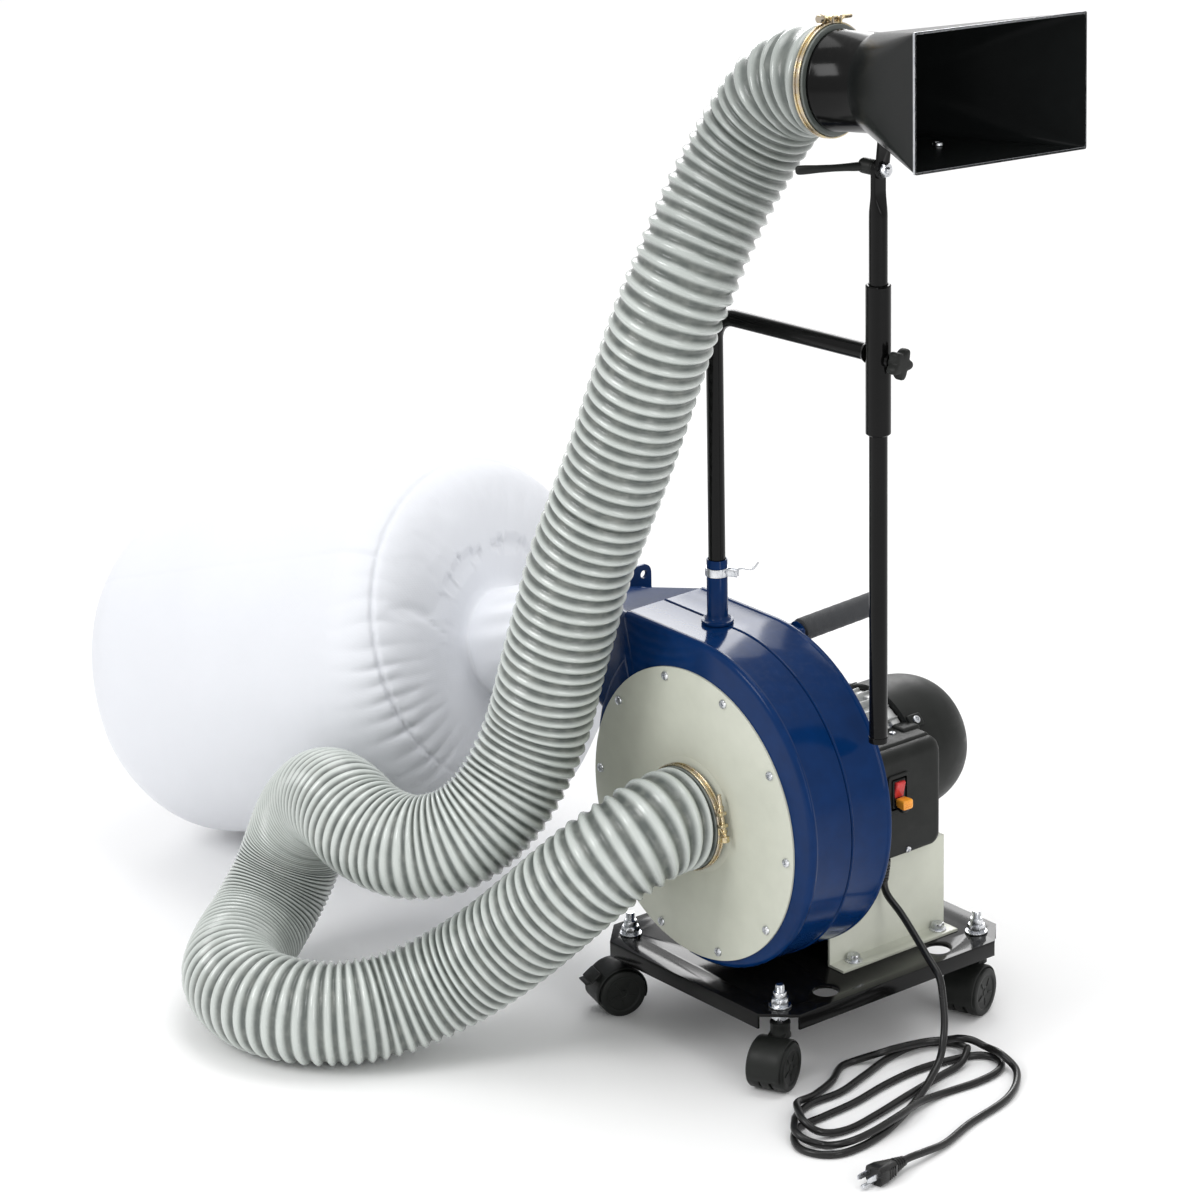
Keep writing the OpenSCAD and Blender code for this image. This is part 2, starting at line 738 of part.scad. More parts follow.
// A point x along the hood's axis from the end of its collar, at rest
function hood_point(x) =
    let(a = -flare_l - hood_collar_l + x,
        u = hood_reach + a * cos(hood_pitch), w = hood_rise + a * sin(hood_pitch),
        v = -w * sin(hood_roll), h = w * cos(hood_roll))
    [post_x + u * cos(boom_yaw) - v * sin(boom_yaw),
        post_y + u * sin(boom_yaw) + v * cos(boom_yaw), pivot_z + h];

function unit(v) = v / norm(v);
function tangent(p, i) = unit(p[min(i + 1, len(p) - 1)] - p[max(i - 1, 0)]);
// Each ring's first direction is carried on from the ring before it, so that the tube doesn't twist
function carried(p, i) =
    let(t = tangent(p, i), r = i == 0 ? (abs(t[2]) > 0.9 ? [1, 0, 0] : [0, 0, 1]) : carried(p, i - 1))
    unit(r - t * (r * t));

// A tube of diameter d with n sides, swept along the points p from number a to number b
module swept(p, d, n, a, b) {
    rings = [for (i = [a:b]) let(t = tangent(p, i), u = carried(p, i), v = cross(t, u))
        [for (k = [0:n - 1]) p[i] + d / 2 * (cos(360 * k / n) * u + sin(360 * k / n) * v)]];
    last = b - a;
    polyhedron(
        points = concat([for (r = rings) for (q = r) q], [p[a], p[b]]),
        faces = concat(
            [for (i = [0:last - 1], k = [0:n - 1])
                let(e = i * n + k, f = i * n + (k + 1) % n) [e, f, f + n, e + n]],
            [for (k = [0:n - 1]) [(last + 1) * n, (k + 1) % n, k]],
            [for (k = [0:n - 1]) [(last + 1) * n + 1, last * n + k, last * n + (k + 1) % n]]));
}

module hose_lower() color(grey_green) swept(HOSE, hose_d, 12, 0, hose_cut_low);
module hose_middle() color(grey_green) swept(HOSE, hose_d, 12, hose_cut_low, hose_cut_high);
module hose_upper() color(grey_green) swept(HOSE, hose_d, 12, hose_cut_high, len(HOSE) - 1);

// ---------- cord ----------

cord_x = 94;                        // where the cord leaves the switch box
cord_y = 32;
cord_top_z = box_z0 - 22;
plug_x = 361;                       // where the cord enters the plug
plug_y = -183;
plug_z = 10.6;
rubber_black = [0.06, 0.06, 0.06];

// Middle line of the cord, from the strain relief to the plug
CORD = [[cord_x, cord_y, cord_top_z], [cord_x, cord_y, cord_top_z - 6], [99, 31, 156],
    [123, 30, 141], [147, 28, 124], [173, 24, 107], [194, 20, 94], [206, 14, 75], [215, 8, 55],
    [222, 0, 38], [231, -13, 24], [242, -36, 13], [254, -62, 6], [270, -96, 4], [290, -142, 4],
    [299, -186, 4], [296, -215, 4], [282, -230, 4], [261, -235, 4], [239, -224, 4], [224, -204, 4],
    [222, -170, 4], [219, -123, 4], [209, -70, 4], [205, -22, 4], [212, 24, 4], [223, 52, 4],
    [237, 59, 4], [253, 55, 4], [264, 38, 4], [268, 6, 4], [264, -40, 4], [269, -75, 8],
    [285, -118, 13], [295, -166, 13], [295, -196, 12], [285, -207, 8], [270, -212, 4],
    [258, -224, 9], [243, -225, 13], [224, -210, 13], [200, -184, 4], [191, -158, 4], [191, -118, 4],
    [178, -72, 4], [163, -22, 4], [160, 16, 4], [170, 40, 4], [188, 53, 4], [203, 49, 7],
    [219, 37, 14], [228, 20, 7], [232, -13, 4], [243, -69, 4], [255, -124, 4], [261, -167, 4],
    [257, -192, 6], [250, -205, 11], [235, -208, 18], [213, -196, 19], [188, -173, 10],
    [178, -143, 4], [166, -108, 4], [146, -76, 4], [145, -59, 4], [161, -35, 12], [165, -16, 13],
    [170, 23, 10], [183, 42, 11], [198, 45, 17], [210, 52, 17], [223, 59, 12], [251, 56, 14],
    [275, 54, 7], [294, 38, 4], [317, 2, 4], [334, -67, 4], [352, -119, 5], [357.5, -150, 8.5],
    [360, -174, plug_z], [plug_x, plug_y, plug_z]];

module power_cord() color(rubber_black) swept(CORD, cord_d, 8, 0, len(CORD) - 1);

module strain_relief() color(rubber_black) {
    translate([cord_x, cord_y, cord_top_z])
        cylinder(d1 = cord_d + 2, d2 = cord_d + 6, h = box_z0 - cord_top_z, $fn = 32);
}

// The plug lies in line with the end of the cord
module plug() color(rubber_black) {
    in_line = tangent(CORD, len(CORD) - 1);
    boot_l = 18;
    body_l = 28;
    blade_l = 17;
    translate([plug_x, plug_y, plug_z]) rotate([0, -asin(in_line[2]), atan2(in_line[1], in_line[0])]) {
        rotate([0, 90, 0]) cylinder(d1 = cord_d + 3, d2 = cord_d + 9, h = boot_l, $fn = 32);
        translate([boot_l - 2, -12, -10.5]) cube([body_l + 2, 24, 21]);
        for (y = [-6.5, 6.5]) translate([boot_l + body_l, y - 0.8, -1]) cube([blade_l, 1.6, 6]);
        translate([boot_l + body_l, 0, -6]) rotate([0, 90, 0]) cylinder(d = 4.8, h = blade_l + 2, $fn = 24);
    }
}

// ---------- assembly ----------

base_plate();
caster_studs();
motor_stand();
housing_front_half();
housing_rear_half();
cover_plate();
inlet_collar();
inlet_clamp();
outlet_duct();
motor_flange();
motor_body();
motor_fan_cover();
switch_box();
switch_rocker();
safety_key();
handle_bar();
handle_grip();
boom_socket();
socket_clamp();
boom_tube();
boom_sleeve();
sleeve_knob();
hood_post();
pivot_bolt();
ratchet_lever();
hood_bracket();
hood_flare();
hood_collar();
hood_clamp();
dust_bag();
bag_strap();
hose_lower();
hose_middle();
hose_upper();
power_cord();
strain_relief();
plug();
caster_body(1);  // caster_body_1
caster_body(2);  // caster_body_2
caster_body(3);  // caster_body_3
caster_body(4);  // caster_body_4
caster_wheels(1);  // caster_wheels_1
caster_wheels(2);  // caster_wheels_2
caster_wheels(3);  // caster_wheels_3
caster_wheels(4);  // caster_wheels_4
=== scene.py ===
"""Portable dust collector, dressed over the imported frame.

The scroll blower and its motor stand on a caster base. A filter bag is
strapped to the outlet, and a ribbed hose runs from the inlet to a flared hood
on an adjustable boom. Meshes and frames are in metres. The helpers mm, scaled,
shift, bar and band take millimetres, as the fields that feed them do.
"""

import json
import logging
from dataclasses import dataclass, field
from enum import Enum
from math import atan2, cos, exp, hypot, pi, radians, sin, sqrt, tau
from typing import Any, Callable, Sequence

import bmesh
import bpy
from bpy.types import Material, Mesh, NodeSocket, Object
from mathutils import Matrix, Vector, noise
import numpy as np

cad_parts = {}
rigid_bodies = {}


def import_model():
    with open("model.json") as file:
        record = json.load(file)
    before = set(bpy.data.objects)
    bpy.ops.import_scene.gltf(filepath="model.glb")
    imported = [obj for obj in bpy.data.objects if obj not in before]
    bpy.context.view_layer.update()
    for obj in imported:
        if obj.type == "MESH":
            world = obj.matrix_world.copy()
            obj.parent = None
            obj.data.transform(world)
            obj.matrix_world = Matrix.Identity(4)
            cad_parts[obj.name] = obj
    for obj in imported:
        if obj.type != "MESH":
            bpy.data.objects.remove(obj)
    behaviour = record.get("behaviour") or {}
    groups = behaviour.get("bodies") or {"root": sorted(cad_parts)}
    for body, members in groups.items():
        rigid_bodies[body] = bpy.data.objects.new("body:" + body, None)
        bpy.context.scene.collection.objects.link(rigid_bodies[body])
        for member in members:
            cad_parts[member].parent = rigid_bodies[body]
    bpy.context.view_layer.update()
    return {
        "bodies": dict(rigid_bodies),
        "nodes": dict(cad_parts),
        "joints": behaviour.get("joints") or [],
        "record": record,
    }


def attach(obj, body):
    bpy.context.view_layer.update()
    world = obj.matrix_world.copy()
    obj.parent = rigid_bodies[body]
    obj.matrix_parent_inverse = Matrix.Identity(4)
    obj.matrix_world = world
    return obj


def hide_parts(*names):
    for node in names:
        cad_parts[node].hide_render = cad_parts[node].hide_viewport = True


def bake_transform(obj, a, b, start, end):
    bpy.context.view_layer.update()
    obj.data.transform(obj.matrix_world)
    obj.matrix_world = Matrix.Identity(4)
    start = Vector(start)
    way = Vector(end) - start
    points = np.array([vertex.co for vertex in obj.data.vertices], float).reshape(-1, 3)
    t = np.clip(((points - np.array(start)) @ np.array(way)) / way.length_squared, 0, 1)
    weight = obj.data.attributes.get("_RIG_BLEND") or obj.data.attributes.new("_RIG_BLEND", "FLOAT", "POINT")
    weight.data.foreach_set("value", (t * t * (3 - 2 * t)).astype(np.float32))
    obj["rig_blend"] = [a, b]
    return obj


LOG = logging.getLogger("dust_collector")
MM = 0.001

Point = Sequence[float]
Triple = tuple[float, float, float]
Pair = tuple[float, float]
HERE = Matrix.Identity(4)
FACING_X = Matrix(((0, 0, 1), (1, 0, 0), (0, 1, 0))).to_4x4()


# ---- places


def mm(*values: float) -> Vector:
    """Return a point given in millimetres, in metres."""
    return Vector([v * MM for v in values])


def scaled(points: Sequence[Point]) -> list[Vector]:
    """Return points given in millimetres, in metres."""
    return [mm(*p) for p in points]


def upright(y: float) -> Matrix:
    """Return a frame whose X and Y are the machine's X and Z, at depth y."""
    return Matrix.Translation((0, y, 0)) @ spin(90, "X")


def towards(point: Point, direction: Point) -> Matrix:
    """Return a frame at a point with +Z along a direction."""
    turn = Vector(direction).to_track_quat("Z", "Y").to_matrix().to_4x4()
    return Matrix.Translation(point) @ turn


def spin(angle: float, axis: str = "Z") -> Matrix:
    """Return a turn of an angle in degrees about an axis."""
    return Matrix.Rotation(radians(angle), 4, axis)


def shift(x: float, y: float, z: float) -> Matrix:
    """Return a move given in millimetres."""
    return Matrix.Translation(mm(x, y, z))


@dataclass(frozen=True)
class Places:
    """Main sizes and places of the machine, shared by its sub-assemblies."""

    axis_z: float = 0.269
    inlet_y: float = -0.154
    hose_start_y: float = -0.168
    leg: Pair = (-0.023, -0.0965)
    boom_yaw: float = radians(9.5)
    boom_reach: float = 0.214
    crossbar_z: float = 0.803
    pivot_z: float = 0.997
    hood_roll: float = radians(-8.0)
    hood_pitch: float = radians(6.5)
    hood_reach: float = 0.142
    hood_rise: float = 0.101
    collar_end: float = -0.215
    bag_neck: Triple = (-0.399, -0.080, 0.325)
    bag_yaw: float = radians(190.0)
    bag_droop: float = radians(16.6)

    def shaft(self, y: float) -> Matrix:
        """Return a frame on the blower's shaft at y, with +Z towards the motor."""
        return Matrix.Translation((0, y, self.axis_z)) @ spin(-90, "X")

    def boom(self) -> Matrix:
        """Return the boom's frame, +X along the crossbar, origin under the leg."""
        return Matrix.Translation((*self.leg, 0)) @ Matrix.Rotation(self.boom_yaw, 4, "Z")

    def tilt(self, roll: float = 0.0) -> Matrix:
        """Return the frame of the hood's pivot, turned by roll about its bolt."""
        post = self.boom() @ Vector((self.boom_reach, 0, self.pivot_z))
        turn = Matrix.Rotation(self.boom_yaw, 4, "Z") @ Matrix.Rotation(roll, 4, "X")
        return Matrix.Translation(post) @ turn

    def hood(self) -> Matrix:
        """Return the hood's frame, origin in the mouth, +X out of the mouth."""
        lift = Matrix.Translation((self.hood_reach, 0, self.hood_rise))
        return self.tilt(self.hood_roll) @ lift @ Matrix.Rotation(-self.hood_pitch, 4, "Y")

    def collar(self) -> Matrix:
        """Return a frame in the hood's collar's end, +Z into the hood."""
        return self.hood() @ Matrix.Translation((self.collar_end, 0, 0)) @ spin(90, "Y")

    def crossbar(self, drop: float = 0.0) -> Matrix:
        """Return a frame where the crossbar meets the sleeve, +X along the bar."""
        return self.boom() @ Matrix.Translation((self.boom_reach, 0, self.crossbar_z - drop))

    def hood_end(self, out: float) -> Vector:
        """Return a point on the hood's axis, out metres in from its collar's end."""
        return self.hood() @ Vector((self.collar_end + out, 0, 0))

    def bag(self) -> Matrix:
        """Return the bag's frame, origin in its neck end, +Z along the bag."""
        turn = Matrix.Rotation(self.bag_yaw, 4, "Z")
        dip = Matrix.Rotation(pi / 2 + self.bag_droop, 4, "Y")
        return Matrix.Translation(self.bag_neck) @ turn @ dip


PLACE = Places()


class Body(Enum):
    """Bodies of the mechanism that pieces ride on."""

    BLOWER = "blower"
    BOOM = "boom"
    POST = "post"
    HOOD = "hood"
    SWITCH = "switch"


# ---- shader maths


class Val:
    """A number socket of a node tree, so that its maths reads as Python."""

    def __init__(self, graph: "Tree", socket: Any) -> None:
        """Keep the socket and the graph that it is in."""
        self.graph = graph
        self.socket = socket

    def math(self, operation: str, *others: Any) -> "Val":
        """Return a Math node's result.

        Args:
            operation: The Math node's operation, such as "MULTIPLY".
            others: The other operands, as numbers or Vals.

        Returns:
            The result, as a Val.
        """
        values = dict(enumerate((self, *others)))
        return self.graph.node("ShaderNodeMath", {"operation": operation}, values).val()

    def __add__(self, other: Any) -> "Val":
        """Return self + other."""
        return self.math("ADD", other)

    def __mul__(self, other: Any) -> "Val":
        """Return self * other."""
        return self.math("MULTIPLY", other)

    def __sub__(self, other: Any) -> "Val":
        """Return self - other."""
        return self.math("SUBTRACT", other)

    def __pow__(self, other: Any) -> "Val":
        """Return self to the power of other."""
        return self.math("POWER", other)

    def __rsub__(self, other: float) -> "Val":
        """Return other - self."""
        return self.math("MULTIPLY", -1.0) + other

    __radd__ = __add__
    __rmul__ = __mul__

    def clamp(self) -> "Val":
        """Return the value held between 0 and 1."""
        return self.math("MAXIMUM", 0.0).math("MINIMUM", 1.0)

    def step(self, low: float, high: float) -> "Val":
        """Return a smooth step from 0 at low to 1 at high."""
        settings = {"interpolation_type": "SMOOTHSTEP"}
        values = {"Value": self, "From Min": low, "From Max": high}
        return self.graph.node("ShaderNodeMapRange", settings, values).val("Result")


class Made:
    """A node that a graph has made, which gives out its sockets."""

    def __init__(self, graph: Any, made: Any) -> None:
        """Keep the node and its graph."""
        self.graph = graph
        self.made = made

    def out(self, key: Any = 0) -> Any:
        """Return an output socket by name or number."""
        return self.made.outputs[key]

    def val(self, key: Any = 0) -> Val:
        """Return an output socket as a Val."""
        return Val(self.graph, self.out(key))


class Tree:
    """A node tree, and the one method that adds nodes to it."""

    tree: Any

    def node(self, kind: str, settings: dict[str, Any], values: dict[Any, Any]) -> Made:
        """Add a node.

        Args:
            kind: The node's type.
            settings: Its settings.
            values: Numbers, vectors, Vals, Mades or sockets by input name or number.

        Returns:
            The node, wrapped.
        """
        made = self.tree.nodes.new(kind)
        for key, value in settings.items():
            setattr(made, key, value)
        self.fill(made, values)
        return Made(self, made)

    def fill(self, made: Any, values: dict[Any, Any]) -> None:
        """Set or link a node's inputs, as node does."""
        for key, value in values.items():
            if isinstance(value, Made):
                value = value.out(0)
            elif isinstance(value, Val):
                value = value.socket
            if isinstance(value, NodeSocket):
                self.tree.links.new(value, made.inputs[key])
            else:
                made.inputs[key].default_value = value


class Graph(Tree):
    """A material with a Principled shader."""

    def __init__(self, name: str) -> None:
        """Make an empty material with its shader and output."""
        self.material = bpy.data.materials.new(name)
        self.material.use_nodes = True
        self.tree = self.material.node_tree
        self.tree.nodes.clear()
        self.shader = self.node("ShaderNodeBsdfPrincipled", {}, {})
        self.node("ShaderNodeOutputMaterial", {}, {"Surface": self.shader})
        self.coords = self.node("ShaderNodeTexCoord", {}, {})

    def place(self, stretch: Point = (1, 1, 1)) -> Any:
        """Return Object coordinates stretched along each axis."""
        values = {"Vector": self.coords.out("Object"), "Scale": tuple(stretch)}
        return self.node("ShaderNodeMapping", {}, values).out(0)

    def noise(self, scale: float, detail: float = 3.0, stretch: Point = (1, 1, 1)) -> Val:
        """Return a noise value on Object coordinates.

        Args:
            scale: The noise's scale, per metre.
            detail: Its detail.
            stretch: How the coordinates are stretched first.

        Returns:
            The noise, about 0.5.
        """
        values = {"Vector": self.place(stretch), "Scale": scale, "Detail": detail}
        return self.node("ShaderNodeTexNoise", {}, values).val(0)

    def cells(self, scale: float) -> Val:
        """Return the distance of a Voronoi texture on Object coordinates."""
        values = {"Vector": self.place(), "Scale": scale}
        return self.node("ShaderNodeTexVoronoi", {}, values).val("Distance")

    def attribute(self, name: str) -> Val:
        """Return a number kept on the mesh's points."""
        return self.node("ShaderNodeAttribute", {"attribute_name": name}, {}).val("Fac")

    def split(self, vector: Any) -> Made:
        """Return a node that gives a vector's X, Y and Z."""
        return self.node("ShaderNodeSeparateXYZ", {}, {0: vector})

    def up(self) -> Val:
        """Return how far the surface faces upwards, -1 to 1."""
        return self.split(self.node("ShaderNodeNewGeometry", {}, {}).out("Normal")).val("Z")

    def blend(self, factor: Val, first: Any, second: Any) -> Any:
        """Return a mix of two colours.

        Args:
            factor: 0 for the first, 1 for the second.
            first: A colour or a colour socket.
            second: A colour or a colour socket.

        Returns:
            The mixed colour's socket.
        """
        mix = self.node("ShaderNodeMix", {"data_type": "RGBA"}, {0: factor}).made
        slots = {s.identifier: k for k, s in enumerate(mix.inputs)}
        whole = [(*v, 1.0) if isinstance(v, tuple) else v for v in (first, second)]
        self.fill(mix, {slots["A_Color"]: whole[0], slots["B_Color"]: whole[1]})
        return next(s for s in mix.outputs if s.identifier == "Result_Color")

    def bump(self, height: Val, distance: float, strength: float = 1.0) -> None:
        """Feed a height to the shader's normal.

        Args:
            height: The height, 0 to 1.
            distance: How high 1 is, in metres.
            strength: The bump's strength.
        """
        values = {"Height": height, "Distance": distance, "Strength": strength}
        self.feed(normal=self.node("ShaderNodeBump", {}, values))

    def feed(self, **values: Any) -> None:
        """Set or link the shader's own sockets, named with _ for spaces."""
        named = {k.replace("_", " ").title().replace("Ior", "IOR"): v for k, v in values.items()}
        self.fill(self.shader.made, named)


# ---- finishes


@dataclass(frozen=True)
class Coat:
    """A finish, whose paint method feeds the shader of its material."""

    name: str

    def build(self) -> Material:
        """Return the material."""
        g = Graph(self.name)
        self.paint(g)
        return g.material

    def paint(self, g: Graph) -> None:
        """Feed the shader with a plain pale paint."""
        g.feed(base_color=(0.95, 0.95, 0.95, 1), roughness=0.85, specular_ior_level=0.1)


@dataclass(frozen=True)
class Enamel(Coat):
    """Gloss enamel on sheet steel, with orange peel and a little settled dust."""

    colour: Triple
    roughness: float = 0.13
    dust: float = 0.05
    shine: float = 0.25
    mottle: float = 1.0

    def paint(self, g: Graph) -> None:
        """Feed the shader."""
        tone = (g.noise(9.0, 4.0) * 0.5 + g.noise(55.0, 3.0) * 0.5).step(0.3, 0.7)
        darker = tuple(c * (1 - 0.14 * self.mottle) for c in self.colour)
        lighter = tuple(c * (1 + 0.1 * self.mottle) for c in self.colour)
        paint = g.blend(tone, darker, lighter)
        settled = (g.up().step(0.55, 1.0) * g.noise(140.0, 5.0).step(0.42, 0.75) * self.dust).clamp()
        scuffs = g.noise(60.0, 2.0, (1.0, 1.0, 9.0)).step(0.66, 0.8) * 0.05
        g.feed(base_color=g.blend(settled, paint, (0.55, 0.54, 0.5)), roughness=g.noise(22.0, 3.0) * 0.08
            + (self.roughness - 0.04) + settled * 0.5 + scuffs, specular_ior_level=self.shine)
        g.bump(g.noise(260.0, 2.0) * 0.8 + g.noise(900.0, 1.0) * 0.2, 0.00006, 0.5)


@dataclass(frozen=True)
class MouldedPlastic(Coat):
    """Moulded plastic with a fine spark-eroded grain."""

    colour: Triple
    roughness: float = 0.45
    grain: float = 0.00008
    shine: float = 0.22

    def paint(self, g: Graph) -> None:
        """Feed the shader."""
        tone = g.noise(35.0, 4.0).step(0.3, 0.7)
        lighter = tuple(min(1.0, c * 1.3 + 0.002) for c in self.colour)
        rubbed = g.noise(28.0, 3.0, (1.0, 1.0, 3.0)).step(0.55, 0.75) * 0.12
        g.feed(base_color=g.blend(tone, self.colour, lighter), roughness=g.noise(90.0, 3.0) * 0.16
            + (self.roughness - 0.08) - rubbed, specular_ior_level=self.shine)
        g.bump(g.cells(1500.0) * 0.6 + g.noise(2100.0, 2.0) * 0.4, self.grain, 0.5)


@dataclass(frozen=True)
class Plated(Coat):
    """Plated steel, whose colour drifts over the surface."""

    colour: Triple
    drift: Triple
    roughness: float = 0.24

    def paint(self, g: Graph) -> None:
        """Feed the shader."""
        cloud = g.noise(120.0, 4.0).step(0.35, 0.68)
        brushed = g.noise(900.0, 2.0, (1.0, 1.0, 0.08))
        g.feed(base_color=g.blend(cloud, self.colour, self.drift), metallic=1.0, roughness=brushed * 0.14
            + (self.roughness - 0.06) + cloud * 0.06)
        g.bump(brushed * 0.6 + g.noise(1500.0, 2.0) * 0.4, 0.00003, 0.5)


@dataclass(frozen=True)
class CastMetal(Coat):
    """Cast aluminium with a sanded, grainy skin."""

    colour: Triple = (0.62, 0.63, 0.62)

    def paint(self, g: Graph) -> None:
        """Feed the shader."""
        grain = g.noise(1100.0, 3.0)
        stain = g.noise(40.0, 4.0).step(0.4, 0.75)
        g.feed(base_color=g.blend(stain * 0.5, self.colour, (0.38, 0.39, 0.39)), metallic=0.75,
            roughness=grain * 0.2 + 0.34)
        g.bump(grain * 0.7 + g.cells(700.0) * 0.3, 0.00012, 0.6)


@dataclass(frozen=True)
class FoamRubber(Coat):
    """Dark closed-cell foam with open pores on its skin."""

    colour: Triple = (0.035, 0.037, 0.041)

    def paint(self, g: Graph) -> None:
        """Feed the shader."""
        pores = g.cells(1300.0).step(0.15, 0.55)
        wear = g.noise(60.0, 3.0).step(0.45, 0.75)
        g.feed(base_color=g.blend(wear * 0.5, self.colour, (0.07, 0.072, 0.078)), roughness=pores * 0.08
            + 0.78, sheen_weight=0.25, sheen_roughness=0.4)
        g.bump(pores * 0.7 + g.noise(400.0, 3.0) * 0.3, 0.00035, 0.8)


@dataclass(frozen=True)
class HoseSkin(Coat):
    """Semi-gloss hose plastic, paler on its ribs and dull in its grooves, with painted shade in the grooves
    and towards its top.
    """

    crest: Triple = (0.52, 0.555, 0.53)
    # The groove colour is painted shade: the plastic is drawn far darker in its grooves than it is.
    groove: Triple = (0.085, 0.10, 0.092)

    def paint(self, g: Graph) -> None:
        """Feed the shader."""
        ridge = g.attribute("ridge").clamp()
        cloud = g.noise(16.0, 5.0).step(0.3, 0.72)
        pale = g.blend(cloud, self.crest, tuple(c * 1.12 for c in self.crest))
        dusty = g.noise(70.0, 4.0).step(0.35, 0.75)
        # Painted shade in the grooves, lightened a little by real dust.
        low = g.blend(dusty * 0.4, self.groove, (0.30, 0.31, 0.28))
        streaks = g.noise(240.0, 3.0).step(0.4, 0.8)
        # Painted shade: the hose darkens towards the groove colour from 0.78 m to 1.02 m above the floor.
        painted_top_shade = g.split(g.coords.out("Object")).val("Z").step(0.78, 1.02) * 0.42
        g.feed(base_color=g.blend(painted_top_shade, g.blend(ridge.step(0.05, 0.95), low, pale), self.groove),
            roughness=(1.0 - ridge) * 0.25 + g.noise(130.0, 3.0) * 0.1 + 0.13 + streaks * 0.05,
            specular_ior_level=0.6, coat_weight=0.3, coat_roughness=0.12)
        g.bump(g.noise(330.0, 3.0) * 0.6 + g.noise(60.0, 3.0) * 0.4, 0.0004, 0.35)


@dataclass(frozen=True)
class FilterCloth(Coat):
    """White filter cloth in a plain weave, with a soft nap."""

    colour: Triple = (0.73, 0.745, 0.785)
    threads: float = 1500.0

    def paint(self, g: Graph) -> None:
        """Feed the shader."""
        at = g.split(g.coords.out("UV"))
        warp = (at.val("X") * self.threads).math("SINE") * 0.5 + 0.5
        weft = (at.val("Y") * self.threads).math("SINE") * 0.5 + 0.5
        weave = warp * weft + (1.0 - warp) * (1.0 - weft)
        creases = g.noise(38.0, 5.0).step(0.25, 0.8)
        tone = g.noise(5.0, 4.0).step(0.25, 0.75)
        cloth = g.blend(tone, self.colour, tuple(c * 1.04 for c in self.colour))
        stitched = g.attribute("stitch").clamp()
        shaded = g.blend(weave * 0.06 + stitched * 0.18, cloth, (0.62, 0.64, 0.68))
        g.feed(base_color=shaded, roughness=weave * 0.08 + 0.72, sheen_weight=0.35, sheen_roughness=0.45)
        g.bump(weave * 0.12 + creases * 0.5 + g.noise(9.0, 3.0) * 0.4 - stitched * 0.8, 0.0010, 0.45)


class Finish(Enum):
    """Finishes of the machine, each with its slot in the record."""

    NAVY = ("navy_enamel", Enamel("navy enamel", (0.002, 0.023, 0.098), 0.13, 0.012, 0.13))
    CREAM = ("cream_enamel", Enamel("cream enamel", (0.57, 0.585, 0.50), 0.2, 0.02, 0.4, 0.3))
    BLACK = ("black_enamel", Enamel("black enamel", (0.004, 0.004, 0.004), 0.14, 0.008, 0.16))
    SHEET = ("black_enamel", Enamel("black sheet enamel", (0.007, 0.008, 0.008), 0.2, 0.002, 0.035))
    PLASTIC = ("black_plastic", MouldedPlastic("black plastic", (0.009, 0.010, 0.009)))
    ZINC = ("zinc", Plated("zinc plate", (0.72, 0.73, 0.75), (0.55, 0.57, 0.6)))
    YELLOW_ZINC = ("yellow_zinc", Plated("yellow zinc plate", (0.62, 0.51, 0.30), (0.56, 0.49, 0.40)))
    ALUMINIUM = ("aluminium", CastMetal("cast aluminium"))
    FOAM = ("foam", FoamRubber("grip foam"))
    HOSE = ("hose_plastic", HoseSkin("hose plastic"))
    CLOTH = ("bag_cloth", FilterCloth("filter cloth"))
    RUBBER = ("cord_rubber", MouldedPlastic("cord jacket", (0.006, 0.006, 0.006), 0.3, 0.00005, 0.4))
    RED = ("red_plastic", MouldedPlastic("red plastic", (0.50, 0.03, 0.03), 0.25, 0.00003, 0.4))
    ORANGE = ("orange_plastic", MouldedPlastic("orange plastic", (0.9, 0.33, 0.03), 0.22, 0.00003, 0.5))

    @property
    def slot(self) -> str:
        """Return the record's slot."""
        return self.value[0]

    @property
    def material(self) -> Material:
        """Return the material, made once."""
        recipe = self.value[1]
        return bpy.data.materials.get(recipe.name) or recipe.build()


# ---- meshes


def link(name: str, data: Any) -> Object:
    """Return a new object of that mesh, camera or light, in the scene."""
    obj = bpy.data.objects.new(name, data)
    bpy.context.scene.collection.objects.link(obj)
    return obj


def drop(obj: Object) -> None:
    """Remove an object that was only needed while building."""
    bpy.data.objects.remove(obj, do_unlink=True)


def applied(obj: Object) -> Mesh:
    """Return an object's mesh with its modifiers applied."""
    graph = bpy.context.evaluated_depsgraph_get()
    return bpy.data.meshes.new_from_object(obj.evaluated_get(graph), depsgraph=graph)


def fillet(outline: Sequence[Point], radius: float) -> list[Vector]:
    """Round the inner corners of an open 2-D line.

    Args:
        outline: The line's points.
        radius: How far back from each corner the rounding starts.

    Returns:
        The rounded line.
    """
    line = [Vector(p) for p in outline]
    rounded = [line[0]]
    for before, corner, after in zip(line, line[1:], line[2:]):
        back, on = before - corner, after - corner
        reach = min(radius, back.length * 0.49, on.length * 0.49)
        if reach < 1e-7 or back.angle(on) > 3.1:
            rounded.append(corner)
            continue
        start, end = corner + back.normalized() * reach, corner + on.normalized() * reach
        for t in (0, 1 / 3, 2 / 3, 1):
            rounded.append(start * (1 - t) ** 2 + corner * 2 * t * (1 - t) + end * t * t)
    return rounded + [line[-1]]


def band(inner: float, outer: float, low: float, high: float, ease: float) -> list[Vector]:
    """Return the profile of a flat ring or disc with eased corners, from sizes in millimetres."""
    corners = (inner, low), (outer, low), (outer, high), (inner, high)
    return fillet(scaled(corners), ease * MM)


def polar(radius: Callable[[float], float], count: int) -> list[Vector]:
    """Return the closed outline whose radius is a function of the angle."""
    turns = (tau * k / count for k in range(count))
    return [Vector((radius(a) * cos(a), radius(a) * sin(a))) for a in turns]


